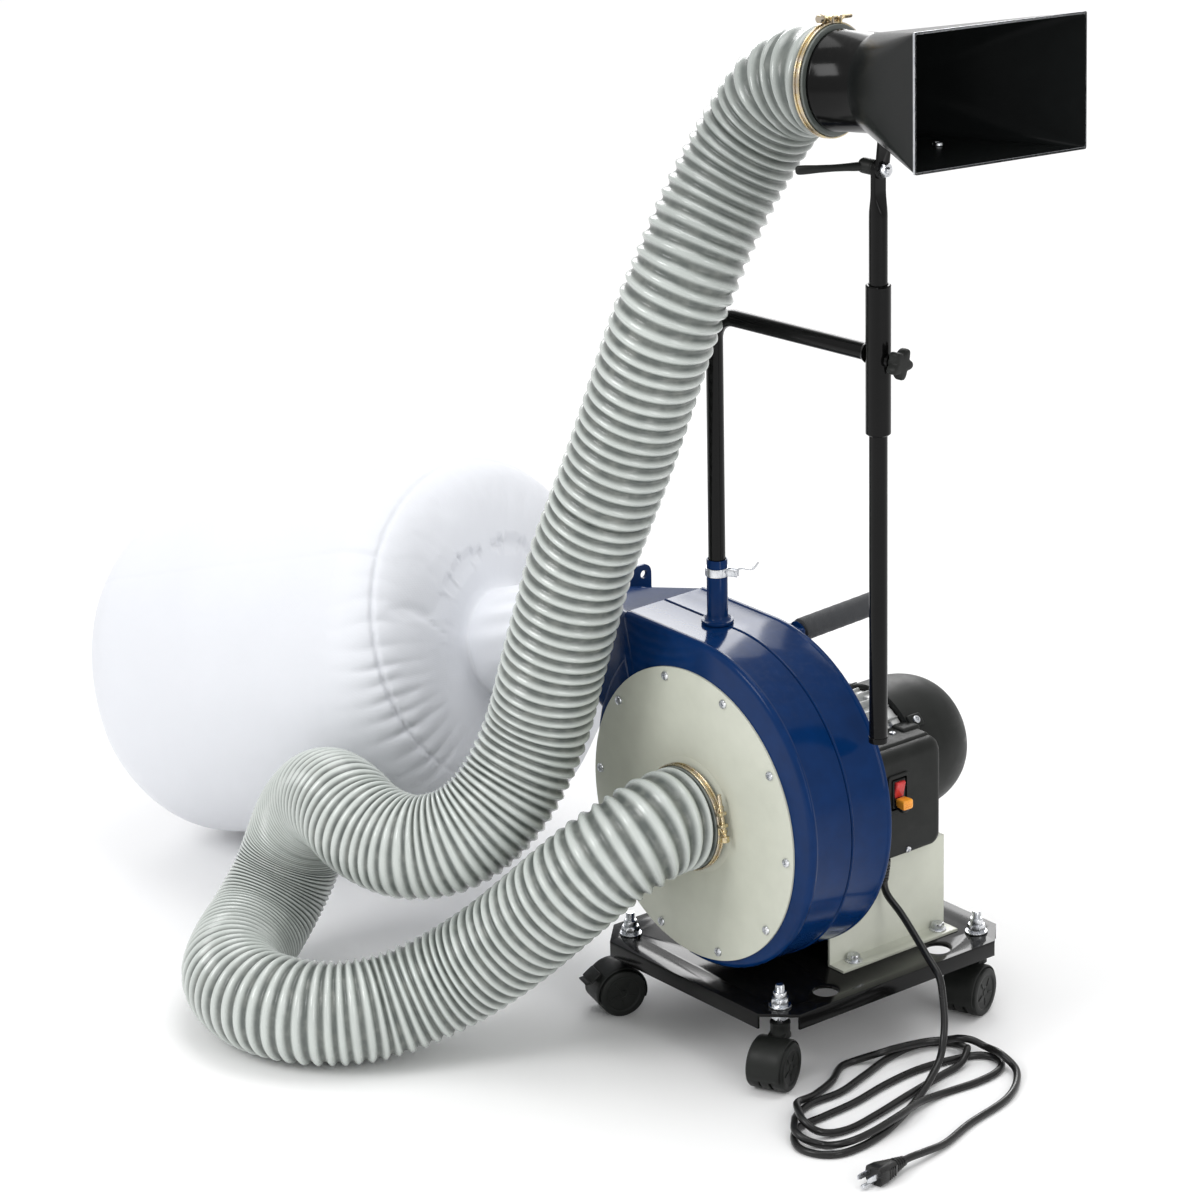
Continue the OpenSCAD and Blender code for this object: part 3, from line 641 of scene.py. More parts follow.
def oblong(width: float, height: float, corner: float, steps: int = 5) -> list[Vector]:
    """Return a closed rectangle outline with rounded corners, anticlockwise."""
    corner = min(corner, width / 2 - 1e-5, height / 2 - 1e-5)
    points = []
    for k, (sx, sy) in enumerate(((1, 1), (-1, 1), (-1, -1), (1, -1))):
        for j in range(steps + 1):
            a = pi / 2 * (k + j / steps)
            centre = Vector((sx * (width / 2 - corner), sy * (height / 2 - corner)))
            points.append(centre + Vector((cos(a), sin(a))) * corner)
    return points


def route_frames(path: Sequence[Vector]) -> list[Matrix]:
    """Return a frame at each point of a path, +Z along it, without twist."""
    last = len(path) - 1
    frames = []
    side = Vector((1, 0, 0))
    for i, point in enumerate(path):
        ahead = (path[min(i + 1, last)] - path[max(i - 1, 0)]).normalized()
        if i == 0 and abs(ahead.dot(side)) > 0.9:
            side = Vector((0, 0, 1))
        side = (side - ahead * side.dot(ahead)).normalized()
        across = ahead.cross(side)
        turn = Matrix((side, across, ahead)).transposed().to_4x4()
        frames.append(Matrix.Translation(point) @ turn)
    return frames


def smooth_route(points: Sequence[Point], step: float) -> list[Vector]:
    """Return points at an even step on the smooth curve through the given ones.

    Args:
        points: The points that the curve passes through, in metres.
        step: The distance between the returned points.

    Returns:
        The points, with both ends kept.
    """
    knots = [Vector(p) for p in points]
    knots = [knots[0] * 2 - knots[1], *knots, knots[-1] * 2 - knots[-2]]
    dense = []
    for p0, p1, p2, p3 in zip(knots, knots[1:], knots[2:], knots[3:]):
        t0, t1 = 0.0, max((p1 - p0).length, 1e-6) ** 0.5
        t2 = t1 + max((p2 - p1).length, 1e-6) ** 0.5
        t3 = t2 + max((p3 - p2).length, 1e-6) ** 0.5
        for k in range(16):
            t = t1 + (t2 - t1) * k / 16
            a1 = p0 * ((t1 - t) / (t1 - t0)) + p1 * ((t - t0) / (t1 - t0))
            a2 = p1 * ((t2 - t) / (t2 - t1)) + p2 * ((t - t1) / (t2 - t1))
            a3 = p2 * ((t3 - t) / (t3 - t2)) + p3 * ((t - t2) / (t3 - t2))
            b1 = a1 * ((t2 - t) / (t2 - t0)) + a2 * ((t - t0) / (t2 - t0))
            b2 = a2 * ((t3 - t) / (t3 - t1)) + a3 * ((t - t1) / (t3 - t1))
            dense.append(b1 * ((t2 - t) / (t2 - t1)) + b2 * ((t - t1) / (t2 - t1)))
    dense.append(knots[-2])
    return resample(dense, step)


def resample(line: Sequence[Vector], step: float) -> list[Vector]:
    """Return a line's points at an even step, with both ends kept."""
    places = [0.0]
    for a, b in zip(line, line[1:]):
        places.append(places[-1] + (b - a).length)
    count = max(2, round(places[-1] / step))
    return [point_at(line, places, places[-1] * k / count) for k in range(count + 1)]


def point_at(line: Sequence[Vector], places: Sequence[float], place: float) -> Vector:
    """Return the point of a line at a distance along it."""
    low, high = 0, len(places) - 1
    while high - low > 1:
        middle = (low + high) // 2
        low, high = (middle, high) if places[middle] <= place else (low, middle)
    span = places[high] - places[low] or 1.0
    return line[low].lerp(line[high], (place - places[low]) / span)


class Shape:
    """A mesh under construction, built up from solids placed by matrices."""

    def __init__(self) -> None:
        """Start with nothing."""
        self.bm = bmesh.new()

    def skin(self, rings: Sequence[Sequence[Vector]], caps: bool = True) -> "Shape":
        """Add a closed skin over rings of equally many points.

        Args:
            rings: The rings, one after the other. A ring's points may coincide.
            caps: Whether the first and last rings are filled.

        Returns:
            This shape.
        """
        made = [[self.bm.verts.new(p) for p in ring] for ring in rings]
        for lower, upper in zip(made, made[1:]):
            for k in range(len(lower)):
                j = (k + 1) % len(lower)
                self.bm.faces.new((lower[k], lower[j], upper[j], upper[k]))
        if caps:
            self.bm.faces.new(list(reversed(made[0])))
            self.bm.faces.new(made[-1])
        return self

    def lathe(self, profile: Sequence[Point], at: Matrix, sides: int = 64) -> "Shape":
        """Add a turned solid or ring.

        Args:
            profile: Radius and height pairs. A profile off the axis closes on itself.
            at: The frame, whose Z is the axis.
            sides: The number of sides.

        Returns:
            This shape.
        """
        line = list(profile)
        if line[0][0] > 1e-7 or line[-1][0] > 1e-7:
            line.append(line[0])
        rings = []
        for r, z in line:
            turns = (tau * k / sides for k in range(sides))
            rings.append([at @ Vector((r * cos(a), r * sin(a), z)) for a in turns])
        return self.skin(rings, caps=False)

    def loft(self, sections: Sequence[tuple[Sequence[Point], Matrix]]) -> "Shape":
        """Add a solid lofted over flat sections, each with its own frame."""
        rings = [[at @ Vector((p[0], p[1], 0)) for p in outline] for outline, at in sections]
        return self.skin(rings)

    def slab(self, outline: Sequence[Point], low: float, high: float, at: Matrix,
            edge: float = 0.0005) -> "Shape":
        """Add a flat solid with eased edges.

        Args:
            outline: Its outline, in the frame's XY plane.
            low: Its lower height.
            high: Its upper height.
            at: The frame.
            edge: How far the edges are eased.

        Returns:
            This shape.
        """
        middle = sum((Vector(p[:2]) for p in outline), Vector((0, 0))) / len(outline)
        reach = max((Vector(p[:2]) - middle).length for p in outline)
        small = [middle + (Vector(p[:2]) - middle) * (1 - edge / reach) for p in outline]
        levels = [(small, low), (outline, low + edge), (outline, high - edge), (small, high)]
        return self.loft([(line, at @ Matrix.Translation((0, 0, h))) for line, h in levels])

    def tube(self, path: Sequence[Vector], radius: Any, sides: int = 24) -> "Shape":
        """Add a round bar along a path.

        Args:
            path: Its middle line.
            radius: Its radius, or one for each point.
            sides: The number of sides.

        Returns:
            This shape.
        """
        radii = radius if isinstance(radius, (list, tuple)) else [radius] * len(path)
        circle = polar(lambda a: 1.0, sides)
        return self.loft([([p * r for p in circle], f) for r, f in zip(radii, route_frames(path))])

    def block(self, size: Point, at: Matrix, edge: float = 0.0008, steps: int = 2) -> "Shape":
        """Add a box with rounded edges, centred in its frame."""
        made = bmesh.ops.create_cube(self.bm, size=1.0, matrix=at @ Matrix.Diagonal((*size, 1.0)))
        edges = list({e for v in made["verts"] for e in v.link_edges})
        bmesh.ops.bevel(self.bm, geom=edges, offset=min(edge, min(size) * 0.45), segments=steps,
            profile=0.5, affect="EDGES", clamp_overlap=True)
        return self

    def nut(self, width: float, height: float, at: Matrix) -> "Shape":
        """Add a hexagon head or nut with chamfered corners.

        Args:
            width: Its width across the flats.
            height: Its height.
            at: The frame of its underside.

        Returns:
            This shape.
        """
        def flat(a: float, r: float) -> float:
            """Return the hexagon's radius at an angle, cut off at r."""
            return min(width / 2 / cos((a + tau / 12) % (tau / 6) - tau / 12), r)

        rim = width * 0.5
        chamfer = width * 0.06
        rings = []
        for r, z in ((rim, 0), (rim * 1.16, chamfer), (rim * 1.16, height - chamfer), (rim, height)):
            outline = polar(lambda a, r=r: flat(a, r), 48)
            rings.append([at @ Vector((*p, z)) for p in outline])
        return self.skin(rings)

    def copy(self, mesh: Mesh) -> "Shape":
        """Add a copy of a mesh."""
        self.bm.from_mesh(mesh)
        return self

    def add(self, other: "Shape") -> "Shape":
        """Add another shape, which is used up."""
        return self.copy(other.mesh("other"))

    def mesh(self, name: str, crease: float = 38.0) -> Mesh:
        """Return the finished mesh.

        Args:
            name: The mesh's name.
            crease: The angle in degrees past which an edge is shaded sharp.

        Returns:
            The mesh, smooth but for its creases.
        """
        bmesh.ops.remove_doubles(self.bm, verts=self.bm.verts, dist=1e-6)
        bmesh.ops.dissolve_degenerate(self.bm, edges=self.bm.edges, dist=1e-7)
        bmesh.ops.recalc_face_normals(self.bm, faces=self.bm.faces)
        made = bpy.data.meshes.new(name)
        self.bm.to_mesh(made)
        self.bm.free()
        made.polygons.foreach_set("use_smooth", [True] * len(made.polygons))
        made.set_sharp_from_angle(angle=radians(crease))
        return made

    def piece(self, name: str, finish: Finish, node: str = "", body: Any = Body.BLOWER,
            crease: float = 38.0) -> Object:
        """Return the finished piece, riding on its body.

        Args:
            name: The piece's name.
            finish: Its finish.
            node: The CAD node that it stands for, if any.
            body: The body that it rides on, as a Body or a name, or None for later.
            crease: The angle in degrees past which an edge is shaded sharp.

        Returns:
            The piece.
        """
        return settle(link(name, self.mesh(name, crease)), finish, node, body)


def settle(obj: Object, finish: Finish, node: str, body: Any) -> Object:
    """Give a piece its finish, the node that it stands for and its body, as piece does."""
    obj.data.materials.clear()
    obj.data.materials.append(finish.material)
    if body is not None:
        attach(obj, body.value if isinstance(body, Body) else body)
    if node:
        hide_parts(node)
    LOG.info("%s: %d faces", obj.name, len(obj.data.polygons))
    return obj


# ---- geometry nodes


class GeoTree(Tree):
    """A Geometry Nodes tree with named inputs, whose result becomes a plain mesh."""

    def __init__(self, name: str, inputs: Sequence[tuple[str, str]]) -> None:
        """Make the tree.

        Args:
            name: Its name.
            inputs: The name and socket type of each of its inputs.
        """
        self.tree = bpy.data.node_groups.new(name, "GeometryNodeTree")
        face = self.tree.interface
        face.new_socket("Geometry", in_out="INPUT", socket_type="NodeSocketGeometry")
        self.keys = {}
        for label, kind in (*inputs, ("Finish", "NodeSocketMaterial")):
            self.keys[label] = face.new_socket(label, in_out="INPUT", socket_type=kind).identifier
        face.new_socket("Geometry", in_out="OUTPUT", socket_type="NodeSocketGeometry")
        self.enter = self.tree.nodes.new("NodeGroupInput")

    def given(self, label: str) -> Any:
        """Return the tree's own input of that name."""
        return self.enter.outputs[label]

    def read(self, name: str, kind: str = "FLOAT") -> Made:
        """Return an attribute of the points."""
        return self.node("GeometryNodeInputNamedAttribute", {"data_type": kind}, {"Name": name})

    def set_part(self, points: Any, rotation: Any) -> "GeoTree":
        """Set the tree's part on points with a rotation, and end the tree."""
        part = self.node("GeometryNodeObjectInfo", {}, {"Object": self.given("Part")})
        values = {"Points": points, "Instance": part.out("Geometry"), "Rotation": rotation}
        return self.close(self.node("GeometryNodeInstanceOnPoints", {}, values))

    def close(self, geometry: Any) -> "GeoTree":
        """End the tree in Realize Instances and Set Material."""
        real = self.node("GeometryNodeRealizeInstances", {}, {0: geometry})
        dressed = self.node("GeometryNodeSetMaterial", {}, {0: real, "Material": self.given("Finish")})
        leave = self.tree.nodes.new("NodeGroupOutput")
        self.tree.links.new(dressed.out(0), leave.inputs[0])
        return self

    def run(self, source: Mesh, finish: Finish, **values: Any) -> Mesh:
        """Run the tree on a mesh.

        Args:
            source: The mesh that goes in.
            finish: The finish of what comes out.
            values: The tree's inputs by name, with _ for spaces.

        Returns:
            A plain mesh.
        """
        holder = link("holder", source)
        modifier = holder.modifiers.new("nodes", "NODES")
        modifier.node_group = self.tree
        modifier[self.keys["Finish"]] = finish.material
        for label, value in values.items():
            modifier[self.keys[label.replace("_", " ")]] = value
        holder.update_tag()
        made = applied(holder)
        drop(holder)
        return made


def scatter_tree() -> GeoTree:
    """Return a tree that sets a part on each point, aimed along its own direction."""
    made = GeoTree("set on points", (("Part", "NodeSocketObject"),))
    aim = made.read("aim", "FLOAT_VECTOR")
    align = made.node("FunctionNodeAlignRotationToVector", {"axis": "Z"}, {"Vector": aim})
    spun = made.node("FunctionNodeAxisAngleToRotation", {}, {"Axis": (0, 0, 1), "Angle": made.read("turn")})
    rotation = made.node("FunctionNodeRotateRotation", {"rotation_space": "LOCAL"}, {0: align, 1: spun})
    return made.set_part(made.given("Geometry"), rotation)


def ring_tree() -> GeoTree:
    """Return a tree that sets a part at even angles on a circle, its +X outwards."""
    inputs = (("Part", "NodeSocketObject"), ("Count", "NodeSocketInt"), ("Radius", "NodeSocketFloat"))
    made = GeoTree("set on a ring", inputs)
    sizes = {"Vertices": made.given("Count"), "Radius": made.given("Radius")}
    circle = made.node("GeometryNodeMeshCircle", {}, sizes)
    place = made.node("GeometryNodeInputPosition", {}, {})
    axes = {"axis": "X", "pivot_axis": "Z"}
    outwards = made.node("FunctionNodeAlignRotationToVector", axes, {"Vector": place})
    return made.set_part(circle, outwards)


def rib_tree() -> GeoTree:
    """Return a tree that draws a ribbed tube round a line of points.

    The line's points carry "phase", which counts the ribs up to them, "depth",
    how deep the groove is there, and "narrow", how narrow the crests are.
    """
    inputs = (("Radius", "NodeSocketFloat"), ("Sides", "NodeSocketInt"))
    made = GeoTree("ribbed hose", inputs)
    wave = (made.read("phase").val() * tau).math("COSINE")
    ridge = (0.5 - wave * 0.499) ** made.read("narrow").val()
    line = made.node("GeometryNodeMeshToCurve", {}, {0: made.given("Geometry")})
    settings = {"data_type": "FLOAT", "domain": "POINT"}
    kept = made.node("GeometryNodeStoreNamedAttribute", settings,
        {"Geometry": line, "Name": "ridge", "Value": ridge})
    sizes = {"Resolution": made.given("Sides"), "Radius": 1.0}
    circle = made.node("GeometryNodeCurvePrimitiveCircle", {}, sizes)
    radius = Val(made, made.given("Radius")) - (1.0 - ridge) * made.read("depth").val()
    tube = made.node("GeometryNodeCurveToMesh", {}, {"Curve": kept, "Profile Curve": circle,
        "Scale": radius})
    return made.close(tube)


def points_mesh(points: Sequence[Point], attributes: dict[str, tuple[str, Sequence[Any]]],
        joined: bool = False) -> Mesh:
    """Return a mesh of bare points that carries named attributes.

    Args:
        points: The points.
        attributes: The type and values of each attribute.
        joined: Whether an edge joins each point to the next.

    Returns:
        The mesh.
    """
    mesh = bpy.data.meshes.new("points")
    edges = [(k, k + 1) for k in range(len(points) - 1)] if joined else []
    mesh.from_pydata([tuple(p) for p in points], edges, [])
    for name, (kind, values) in attributes.items():
        layer = mesh.attributes.new(name, kind, "POINT")
        for item, value in zip(layer.data, values):
            if kind == "FLOAT_VECTOR":
                item.vector = value
            else:
                item.value = value
    return mesh


def threaded(rod: float, low: float, high: float, pitch: float = 0.0015) -> list[Point]:
    """Return the profile of a threaded rod with a chamfered end."""
    line = [(0, low), (rod, low)]
    z = low + pitch
    while z < high - 0.002:
        line += [(rod * 0.86, z - pitch * 0.5), (rod, z)]
        z += pitch
    return line + [(rod * 0.8, high), (0, high)]


def bar(radius: float, low: float, high: float) -> list[Vector]:
    """Return the profile of a plain round bar, from sizes in millimetres."""
    return scaled(((0, low), (radius, low), (radius, high), (0, high)))


@dataclass
class Fixings:
    """Screws, bolts and nuts, set in place by the shared trees."""

    scatter: GeoTree = field(default_factory=scatter_tree)
    ring: GeoTree = field(default_factory=ring_tree)

    def pan_head(self, radius: float = 0.0045) -> Shape:
        """Return a pan head with a cross recess, its underside in the XY plane."""
        tall = radius * 0.62
        sides = 40

        def height(x: float, y: float) -> float:
            """Return the dome's height, with the cross cut into it."""
            r = hypot(x, y) / radius
            dome = tall * (1 - 0.32 * r * r)
            inside = min(abs(x), abs(y)) < radius * 0.13 and max(abs(x), abs(y)) < radius * 0.58
            return dome * 0.45 if inside else dome

        rim = polar(lambda a: radius, sides)
        rings = [[Vector((*p, z)) for p in rim] for z in (0.0, tall * 0.5)]
        for share in (0.9, 0.72, 0.6, 0.5, 0.36, 0.2, 0.1):
            rings.append([Vector((*(p * share), height(*(p * share)))) for p in rim])
        return Shape().skin(rings)

    def hex_bolt(self, across: float, height: float, flange: float) -> Shape:
        """Return a hexagon bolt head on its flange, with its washer face down."""
        head = Shape()
        head.lathe(fillet([(0, 0), (flange, 0), (flange, 0.0012), (across * 0.52, 0.002), (0, 0.002)],
            0.0005), HERE, 40)
        head.nut(across, height, Matrix.Translation((0, 0, 0.0015)))
        return head

    def stud(self, across: float, nut_h: float, washer: float, rod: float, top: float) -> Shape:
        """Return a threaded stud's end with its washer and nut.

        Args:
            across: The nut's width across the flats.
            nut_h: The nut's height.
            washer: The washer's radius.
            rod: The stud's radius.
            top: The height of the stud's end.

        Returns:
            The shape, with the washer's underside in the XY plane.
        """
        made = Shape()
        made.lathe(fillet([(0, 0), (washer, 0), (washer, 0.002), (0, 0.002)], 0.0004), HERE, 48)
        made.nut(across, nut_h, Matrix.Translation((0, 0, 0.002)))
        made.lathe(threaded(rod, 0.002 + nut_h * 0.9, top), HERE, 28)
        return made

    def set_at(self, part: Shape, points: Sequence[Point], aims: Sequence[Point],
            turns: Sequence[float]) -> Shape:
        """Set a zinc-plated part on points.

        Args:
            part: The part, whose +Z goes along the aim.
            points: The places.
            aims: The direction at each place.
            turns: The turn about the aim at each place.

        Returns:
            One shape of all the copies.
        """
        model = link("part", part.mesh("part"))
        cloud = points_mesh(points, {"aim": ("FLOAT_VECTOR", aims), "turn": ("FLOAT", turns)})
        made = self.scatter.run(cloud, Finish.ZINC, Part=model)
        drop(model)
        return Shape().copy(made)

    def set_round(self, part: Shape, finish: Finish, count: int, radius: float, at: Matrix) -> Mesh:
        """Set a part at even angles on a circle.

        Args:
            part: The part, whose +X points outwards.
            finish: Its finish.
            count: How many copies.
            radius: The circle's radius.
            at: The frame of the circle.

        Returns:
            One plain mesh of all the copies.
        """
        model = link("part", part.mesh("part"))
        seed = points_mesh([(0, 0, 0)], {})
        made = self.ring.run(seed, finish, Part=model, Count=count, Radius=radius)
        drop(model)
        made.transform(at)
        return made


def cut(shape: Shape, tool: Shape) -> Shape:
    """Return a shape with another taken out of it.

    Args:
        shape: The shape that is cut.
        tool: What is taken out.

    Returns:
        The cut shape.
    """
    body, knife = link("body", shape.mesh("body")), link("knife", tool.mesh("knife"))
    modifier = body.modifiers.new("cut", "BOOLEAN")
    modifier.operation = "DIFFERENCE"
    modifier.solver = "EXACT"
    modifier.object = knife
    made = applied(body)
    drop(body)
    drop(knife)
    return Shape().copy(made)


def dressed(frame: dict[str, Any], node: str, edge: float) -> Shape:
    """Return a copy of a CAD node's mesh with its sharp edges eased.

    Args:
        frame: The loaded frame.
        node: The node's name.
        edge: How far the edges are eased.

    Returns:
        The shape.
    """
    made = Shape().copy(frame["nodes"][node].data)
    bm = made.bm
    bmesh.ops.remove_doubles(bm, verts=bm.verts, dist=2e-6)
    bmesh.ops.dissolve_limit(bm, angle_limit=radians(0.6), verts=bm.verts, edges=bm.edges)
    sharp = [e for e in bm.edges if len(e.link_faces) == 2 and e.calc_face_angle(0.0) > 0.6]
    bmesh.ops.bevel(bm, geom=sharp, offset=edge, segments=2, profile=0.5, affect="EDGES",
        clamp_overlap=True)
    return made


# ---- studio


@dataclass
class Studio:
    """Camera, soft lights and a pale floor."""

    azimuth: float = radians(50.92)
    elevation: float = radians(21.2)
    roll: float = radians(-1.1)
    distance: float = 6.151
    aim_side: float = -0.2118
    aim_up: float = 0.4420
    lens: float = 170.7
    sensor: float = 36.0
    middle: Triple = (-0.15, -0.15, 0.45)
    floor: float = 40.0
    surround: float = 0.72

    def axes(self) -> tuple[Vector, Vector, Vector]:
        """Return the camera's right, up and backward directions, before its roll."""
        flat = cos(self.elevation)
        back = Vector((sin(self.azimuth) * flat, -cos(self.azimuth) * flat, sin(self.elevation)))
        right = Vector((cos(self.azimuth), sin(self.azimuth), 0))
        return right, back.cross(right), back

    def camera(self) -> None:
        """Make the camera and make it the scene's own."""
        right, up, back = self.axes()
        place = right * self.aim_side + up * self.aim_up + back * self.distance
        across = right * cos(self.roll) + up * sin(self.roll)
        tall = up * cos(self.roll) - right * sin(self.roll)
        data = bpy.data.cameras.new("camera")
        data.lens = self.lens
        data.sensor_width = self.sensor
        data.clip_start, data.clip_end = 0.1, 60.0
        camera = link("camera", data)
        turn = Matrix((across, tall, back)).transposed().to_4x4()
        camera.matrix_world = Matrix.Translation(place) @ turn
        bpy.context.scene.camera = camera

    def light(self, name: str, place: Point, aim: Point, size: Point, power: float) -> Object:
        """Add one soft box.

        Args:
            name: Its name.
            place: Where it hangs.
            aim: The point that it faces.
            size: Its width and height.
            power: Its power in watts.

        Returns:
            The lamp.
        """
        data = bpy.data.lights.new(name, "AREA")
        data.shape = "RECTANGLE"
        data.size, data.size_y = size
        data.energy = power
        lamp = link(name, data)
        lamp.matrix_world = towards(place, Vector(place) - Vector(aim))
        lamp.visible_camera = False
        return lamp

    def build(self) -> None:
        """Make the lights, the surroundings and the floor."""
        middle = self.middle
        self.light("key soft box", (-0.6, -3.8, 3.4), middle, (1.8, 1.8), 74.0)
        self.light("side soft box", (3.8, -0.4, 1.6), middle, (1.0, 2.4), 26.0)
        self.light("top soft box", (0.0, 0.3, 3.6), middle, (2.4, 2.0), 44.0)
        self.light("back soft box", (-4.2, 3.6, 4.2), (-3.2, 2.8, 0.0), (3.0, 3.0), 60.0)
        back = self.axes()[2]
        mirrored = Vector(middle) + 4.5 * Vector((-back.x, -back.y, back.z))
        panel = self.light("low back panel", mirrored, middle, (3.0, 1.5), 80.0)
        panel.visible_diffuse = False
        world = bpy.data.worlds.new("surroundings")
        world.use_nodes = True
        ground = world.node_tree.nodes["Background"]
        ground.inputs["Color"].default_value = (1.0, 1.0, 1.0, 1.0)
        ground.inputs["Strength"].default_value = self.surround
        bpy.context.scene.world = world
        bpy.context.scene.view_settings.view_transform = "Standard"
        floor = bpy.data.meshes.new("floor")
        s = self.floor
        floor.from_pydata([(-s, -s, 0), (s, -s, 0), (s, s, 0), (-s, s, 0)], [], [(0, 1, 2, 3)])
        floor.materials.append(Coat("studio floor").build())
        link("floor", floor)


# ---- hose


@dataclass
class Hose:
    """Ribbed hose from the inlet to the hood's collar."""

    radius: float = 0.056
    bore: float = 0.049
    sides: int = 52
    depth: float = 0.0050
    steps: tuple[float, ...] = (0.0, 0.13, 0.26, 0.38, 0.5, 0.62, 0.74, 0.87)
    boom_from: float = 0.600
    post_from: float = 1.000
    pitches: tuple[Pair, ...] = ((0.0, 14.0), (0.17, 14.0), (0.30, 12.0), (0.62, 12.0), (0.72, 7.0),
        (0.82, 5.5), (0.90, 7.0), (0.98, 9.5), (1.20, 9.5), (1.30, 13.0), (1.45, 15.0), (2.10, 15.0))
    route: tuple[Triple, ...] = ((0, -168, 269), (0, -198, 269), (-4, -226, 260), (-18, -254, 242),
        (-42, -278, 212), (-76, -300, 172), (-112, -322, 132), (-146, -350, 98), (-172, -382, 76),
        (-192, -415, 63), (-212, -450, 58), (-242, -482, 57), (-280, -502, 58), (-320, -506, 58),
        (-367, -491, 58), (-410, -451, 60), (-432, -413, 72), (-441, -385, 92), (-443, -364, 118),
        (-438, -351, 151), (-419, -348, 188), (-374, -356, 225), (-323, -368, 233), (-285, -374, 227),
        (-251, -370, 221), (-223, -360, 219), (-202, -344, 222), (-184, -325, 231), (-171, -303, 247),
        (-163, -281, 269), (-158, -261, 297), (-150, -240, 345), (-133, -230, 418), (-118, -223, 475),
        (-102, -215, 537), (-81, -205, 597), (-63, -196, 649), (-45, -187, 706), (-25, -178, 770),
        (-10, -168, 821), (0, -152, 866), (4, -133, 905), (9, -112, 943), (19, -93, 981), (36, -79, 1018),
        (60, -72, 1050), (81, -68, 1063))

    def line(self) -> list[Vector]:
        """Return the middle line, at an even step."""
        ends = [PLACE.hood_end(-0.014), PLACE.hood_end(-0.0003)]
        return smooth_route(scaled(self.route) + ends, 0.002)

    def pitch(self, place: float) -> float:
        """Return the distance between ribs at a distance along the hose."""
        for (a, p), (b, q) in zip(self.pitches, self.pitches[1:]):
            if place <= b:
                t = max(0.0, (place - a) / (b - a))
                uneven = 1 + 0.16 * noise.noise(Vector((place * 23.0, 1.7, 4.2)))
                return (p + (q - p) * t * t * (3 - 2 * t)) * uneven * MM
        return self.pitches[-1][1] * MM

    def rings(self) -> tuple[list[Vector], list[float], list[float], list[float]]:
        """Return the rings' points, how many ribs come before each, depths and narrowness."""
        line = self.line()
        places, counts = [0.0], [0.0]
        for a, b in zip(line, line[1:]):
            step = (b - a).length
            counts.append(counts[-1] + step / self.pitch(places[-1] + step / 2))
            places.append(places[-1] + step)
        ribs = round(counts[-1])
        counts = [c * ribs / counts[-1] for c in counts]
        wanted = [n + f for n in range(ribs) for f in self.steps] + [float(ribs)]
        points, depths, narrow = [], [], []
        low = 0
        for phase in wanted:
            while low < len(counts) - 2 and counts[low + 1] < phase:
                low += 1
            share = (phase - counts[low]) / (counts[low + 1] - counts[low])
            points.append(line[low].lerp(line[low + 1], share))
            place = places[low] + (places[low + 1] - places[low]) * share
            pitch = self.pitch(place)
            depths.append(min(self.depth, pitch * 0.42))
            narrow.append(max(0.55, min(1.15, pitch / 0.0130)))
        return points, wanted, depths, narrow

    def part(self, whole: Mesh, first: float, last: float, mouth: Sequence[Vector] = ()) -> Shape:
        """Return one length of the hose with its ends closed.

        Args:
            whole: The mesh of the whole hose.
            first: The number of the rib that it starts at.
            last: The number of the rib that it ends at.
            mouth: The hose's points, where this length has its lined mouth.

        Returns:
            The shape.
        """
        made = Shape().copy(whole)
        count = made.bm.verts.layers.float["count"]
        outside = [v for v in made.bm.verts if not first - 1e-3 <= v[count] <= last + 1e-3]
        bmesh.ops.delete(made.bm, geom=outside, context="VERTS")
        if mouth:
            self.line_mouth(made, last, mouth)
        rim = [e for e in made.bm.edges if len(e.link_faces) == 1]
        bmesh.ops.holes_fill(made.bm, edges=rim, sides=0)
        return made

    def line_mouth(self, made: Shape, last: float, points: Sequence[Vector]) -> None:
        """Turn the hood end of the hose inwards, so that its bore shows."""
        bm = made.bm
        count = bm.verts.layers.float["count"]
        middle = points[-1]
        loop = [e for e in bm.edges if len(e.link_faces) == 1 and all(v[count] > last - 0.01
            for v in e.verts)]
        for back in (0.0, 0.012, 0.03, 0.045):
            grown = bmesh.ops.extrude_edge_only(bm, edges=loop)["geom"]
            loop = [g for g in grown if isinstance(g, bmesh.types.BMEdge)]
            ahead = (points[-1] - points[-4]).normalized()
            for v in {v for e in loop for v in e.verts}:
                away = v.co - middle
                away -= ahead * away.dot(ahead)
                v.co = middle + away.normalized() * self.bore - ahead * back

    def cuff(self, at: Matrix) -> Shape:
        """Return the smooth end of the hose that is pushed over a collar."""
        line = band(50.3, 55.8, -0.5, 11.5, 1.2)
        return Shape().lathe(line, at, 72)

